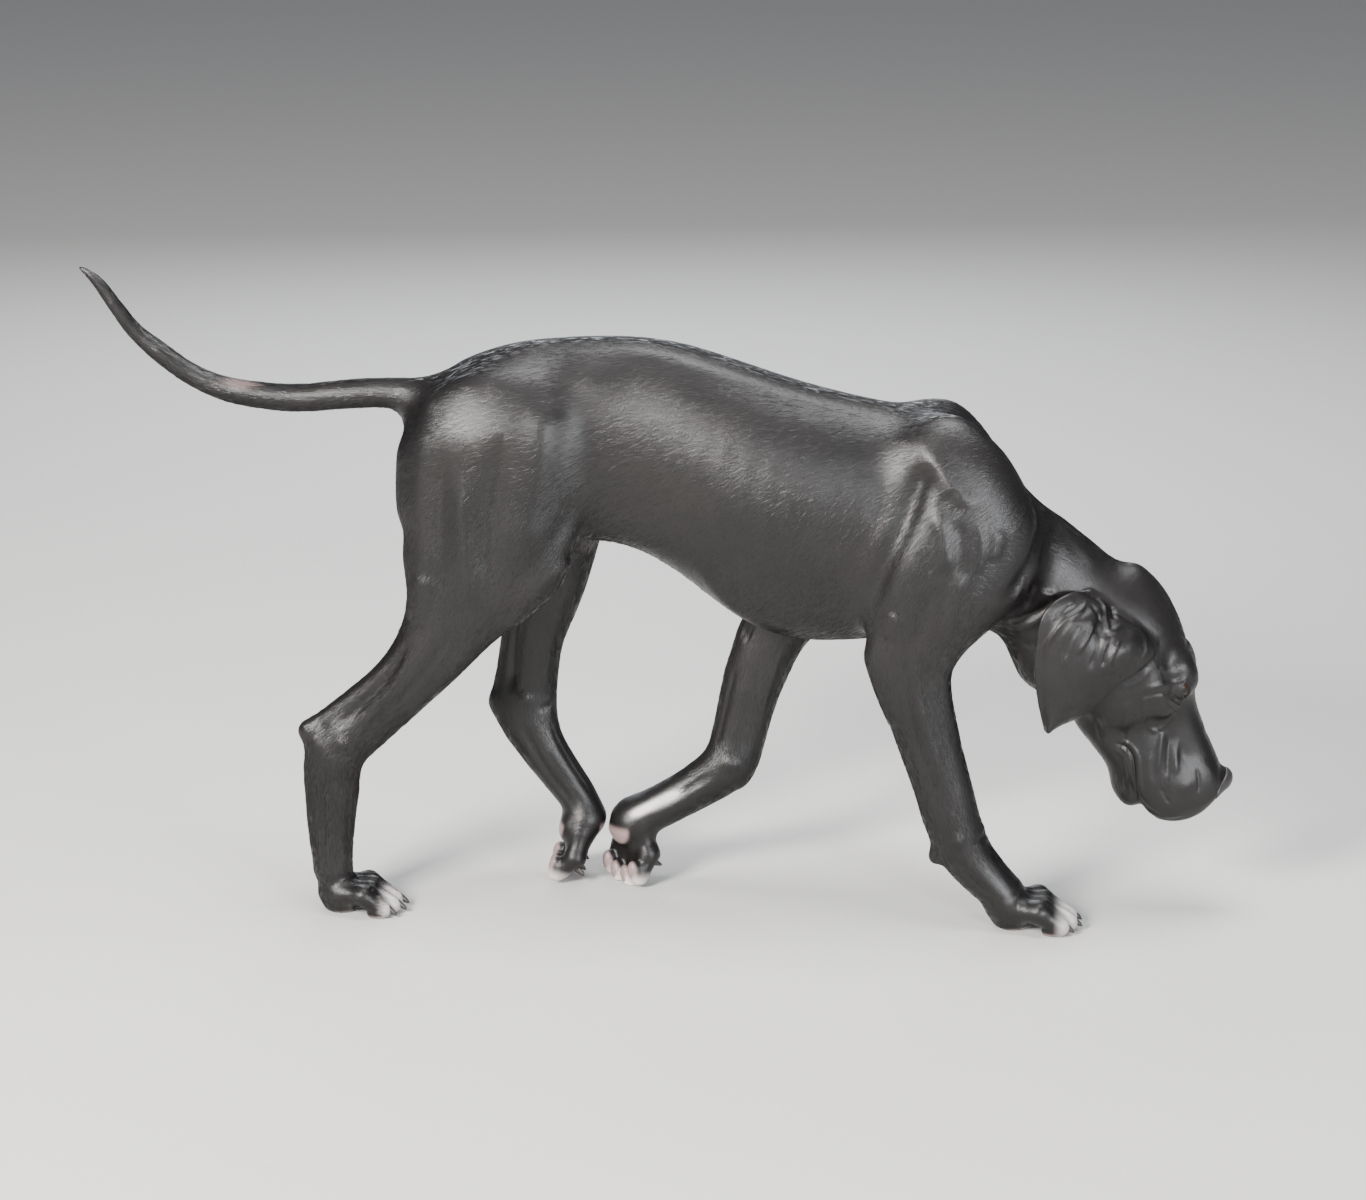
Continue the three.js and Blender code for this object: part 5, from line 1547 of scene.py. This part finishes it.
# The eyeballs.
EYE_RINGS = [0, 8, 15, 19, 21, 23, 30, 38, 45, 47, 50, 60, 75, 90, 110, 130, 150, 180]
EYE_SIDES = 40


def basis(direction):
    direction = np.array(direction, float) / np.linalg.norm(direction)
    one = np.cross(direction, [0, 0, 1])
    one /= np.linalg.norm(one)
    return direction, one, np.cross(direction, one)


def ball(centre, facing, radius):
    """The points and faces of a ball about the way it faces, and the points' angles from there."""
    ahead, one, two = basis(facing)
    points, angles = [], []
    for ring in EYE_RINGS:
        angle = math.radians(ring)
        for n in range(EYE_SIDES if 0 < ring < 180 else 1):
            turn = 2 * math.pi * n / EYE_SIDES
            outward = math.sin(angle) * (math.cos(turn) * one + math.sin(turn) * two)
            points.append(centre + radius * (math.cos(angle) * ahead + outward))
            angles.append(ring)
    faces = []
    last = len(points) - 1
    for n in range(EYE_SIDES):
        m = (n + 1) % EYE_SIDES
        faces.append([0, 1 + n, 1 + m])
        for r in range(len(EYE_RINGS) - 3):
            a, b = 1 + r * EYE_SIDES, 1 + (r + 1) * EYE_SIDES
            faces.append([a + n, b + n, b + m])
            faces.append([a + n, b + m, a + m])
        a = 1 + (len(EYE_RINGS) - 3) * EYE_SIDES
        faces.append([a + n, last, a + m])
    return np.array(points), np.array(faces), np.array(angles, float)


def eye_material():
    """A black pupil, a dark brown iris with a darker rim, and a brownish white."""
    shader = Shader("dark eye")
    polar = shader.node("Attribute", attribute_name="polar").outputs["Fac"]
    ring = shader.node("ValToRGB", Fac=polar)
    elements = ring.color_ramp.elements
    elements[0].position, elements[0].color = 0.105, (0.001, 0.001, 0.001, 1)
    elements[1].position, elements[1].color = 0.30, (0.10, 0.07, 0.055, 1)
    for place, colour in ((0.122, (0.030, 0.012, 0.005, 1)), (0.20, (0.045, 0.019, 0.007, 1)),
                          (0.25, (0.006, 0.003, 0.002, 1))):
        elements.new(place).color = colour
    shader.set(Base_Color=ring.outputs["Color"], Roughness=0.07, Specular_IOR_Level=0.4)
    return shader.material


eye_glass = eye_material()
for side, name in ((RIGHT, "eye_right"), (LEFT, "eye_left")):
    facing = HEAD.turn @ (EYE_FACING * [1, side, 1])
    points, faces, angles = ball(EYES[side], facing, EYE_RADIUS)
    eye = piece_of(name + "_ball", points, faces, [name], "eye", eye_glass)
    add_attribute(eye, "polar", angles / 180)

# The claws.
CLAW_LENGTH, CLAW_RADIUS, CLAW_TIP_RADIUS, CLAW_BEND = 23, 5.6, 1.8, 4
CLAW_FORWARD = [[76, 22], [96, 14]]
CLAW_RAISED = [[58, 30], [63, 46]]
CLAW_RINGS, CLAW_SIDES = 9, 14


def claw(paw, across, length, line):
    """A bent, tapering claw: deeper than wide, with a blunt tip."""
    root, tip = (np.array([line[end][0] * length, (1.05 + 0.05 * end) * across, line[end][1]]) * paw.size
                 for end in (0, 1))
    along = (tip - root) / np.linalg.norm(tip - root)
    under = np.array([along[2], 0, -along[0]])
    under /= np.linalg.norm(under)
    sideways = np.cross(under, along)
    rows = []
    for ring in range(CLAW_RINGS + 1):
        share = ring / CLAW_RINGS
        radius = CLAW_RADIUS + (CLAW_TIP_RADIUS - CLAW_RADIUS) * share**1.6
        radius *= math.sqrt(max(0, 1 - max(0, share - 0.8) ** 2 / 0.0405))
        middle = root + along * CLAW_LENGTH * share + under * CLAW_BEND * share**2
        turns = 2 * np.pi * np.arange(CLAW_SIDES) / CLAW_SIDES
        deep, wide = 0.98 * np.cos(turns)[:, None] * under, 0.84 * np.sin(turns)[:, None] * sideways
        rows.append(middle + radius * (deep + wide))
    points = np.concatenate(rows + [[root], [rows[-1].mean(0) + 0.2 * along]])
    faces = []
    for ring in range(CLAW_RINGS):
        for n in range(CLAW_SIDES):
            m = (n + 1) % CLAW_SIDES
            a, b = ring * CLAW_SIDES, (ring + 1) * CLAW_SIDES
            faces += [[a + n, a + m, b + m], [a + n, b + m, b + n]]
    first, last = len(points) - 2, len(points) - 1
    for n in range(CLAW_SIDES):
        m = (n + 1) % CLAW_SIDES
        faces += [[first, m, n], [last, CLAW_RINGS * CLAW_SIDES + n, CLAW_RINGS * CLAW_SIDES + m]]
    return paw.out(points), np.array(faces)


for name, paw in PAWS.items():
    line = CLAW_RAISED if paw.origin[2] > 0 else CLAW_FORWARD
    for number, (across, length) in enumerate(TOES, 1):
        points, faces = claw(paw, across, length, line)
        piece_of(f"{name}_horn_{number}", points, faces, [f"{name}_claw_{number}"], "claw", horn)

# Camera, floor and light.
TARGET = Vector((CAMERA_TARGET + SHIFT) * MM)
SENSOR = 36


def look(thing, target):
    thing.rotation_euler = (target - thing.location).to_track_quat("-Z", "Y").to_euler()


camera_data = bpy.data.cameras.new("camera")
camera = added("camera", camera_data)
camera_data.sensor_width = SENSOR
camera_data.lens = FOCAL_PIXELS / IMAGE_WIDTH * SENSOR
camera.location = Vector((EYEPOINT + SHIFT) * MM)
look(camera, TARGET)
bpy.context.scene.camera = camera

floor_mesh = bpy.data.meshes.new("floor")
FLOOR_HALF = 12.0
corners = [(x * FLOOR_HALF, y * FLOOR_HALF, 0) for x, y in ((-1, -1), (1, -1), (1, 1), (-1, 1))]
floor_mesh.from_pydata(corners, [], [(0, 1, 2, 3)])
floor_mesh.materials.append(plain_material("floor", (0.46, 0.455, 0.44), 0.9))
floor = added("floor", floor_mesh)

world = bpy.data.worlds.new("studio")
world.use_nodes = True
background = world.node_tree.nodes["Background"]
background.inputs["Color"].default_value = (0.86, 0.9, 1.0, 1)
background.inputs["Strength"].default_value = 0.3
bpy.context.scene.world = world


def lamp(name, place, size, power, colour=(1, 1, 1)):
    data = bpy.data.lights.new(name, "AREA")
    data.size, data.energy, data.color = size, power, colour
    light = added(name, data)
    light.location = place
    look(light, TARGET)


lamp("key", (-2.2, -3.2, 2.4), 1.3, 620, (1, 0.97, 0.93))
lamp("top", (0.4, 0.0, 3.4), 1.6, 170)
lamp("side", (2.1, -3.0, 0.95), 1.0, 170, (0.95, 0.97, 1))
lamp("rim", (-0.4, 3.0, 2.1), 2.4, 100, (0.9, 0.95, 1))
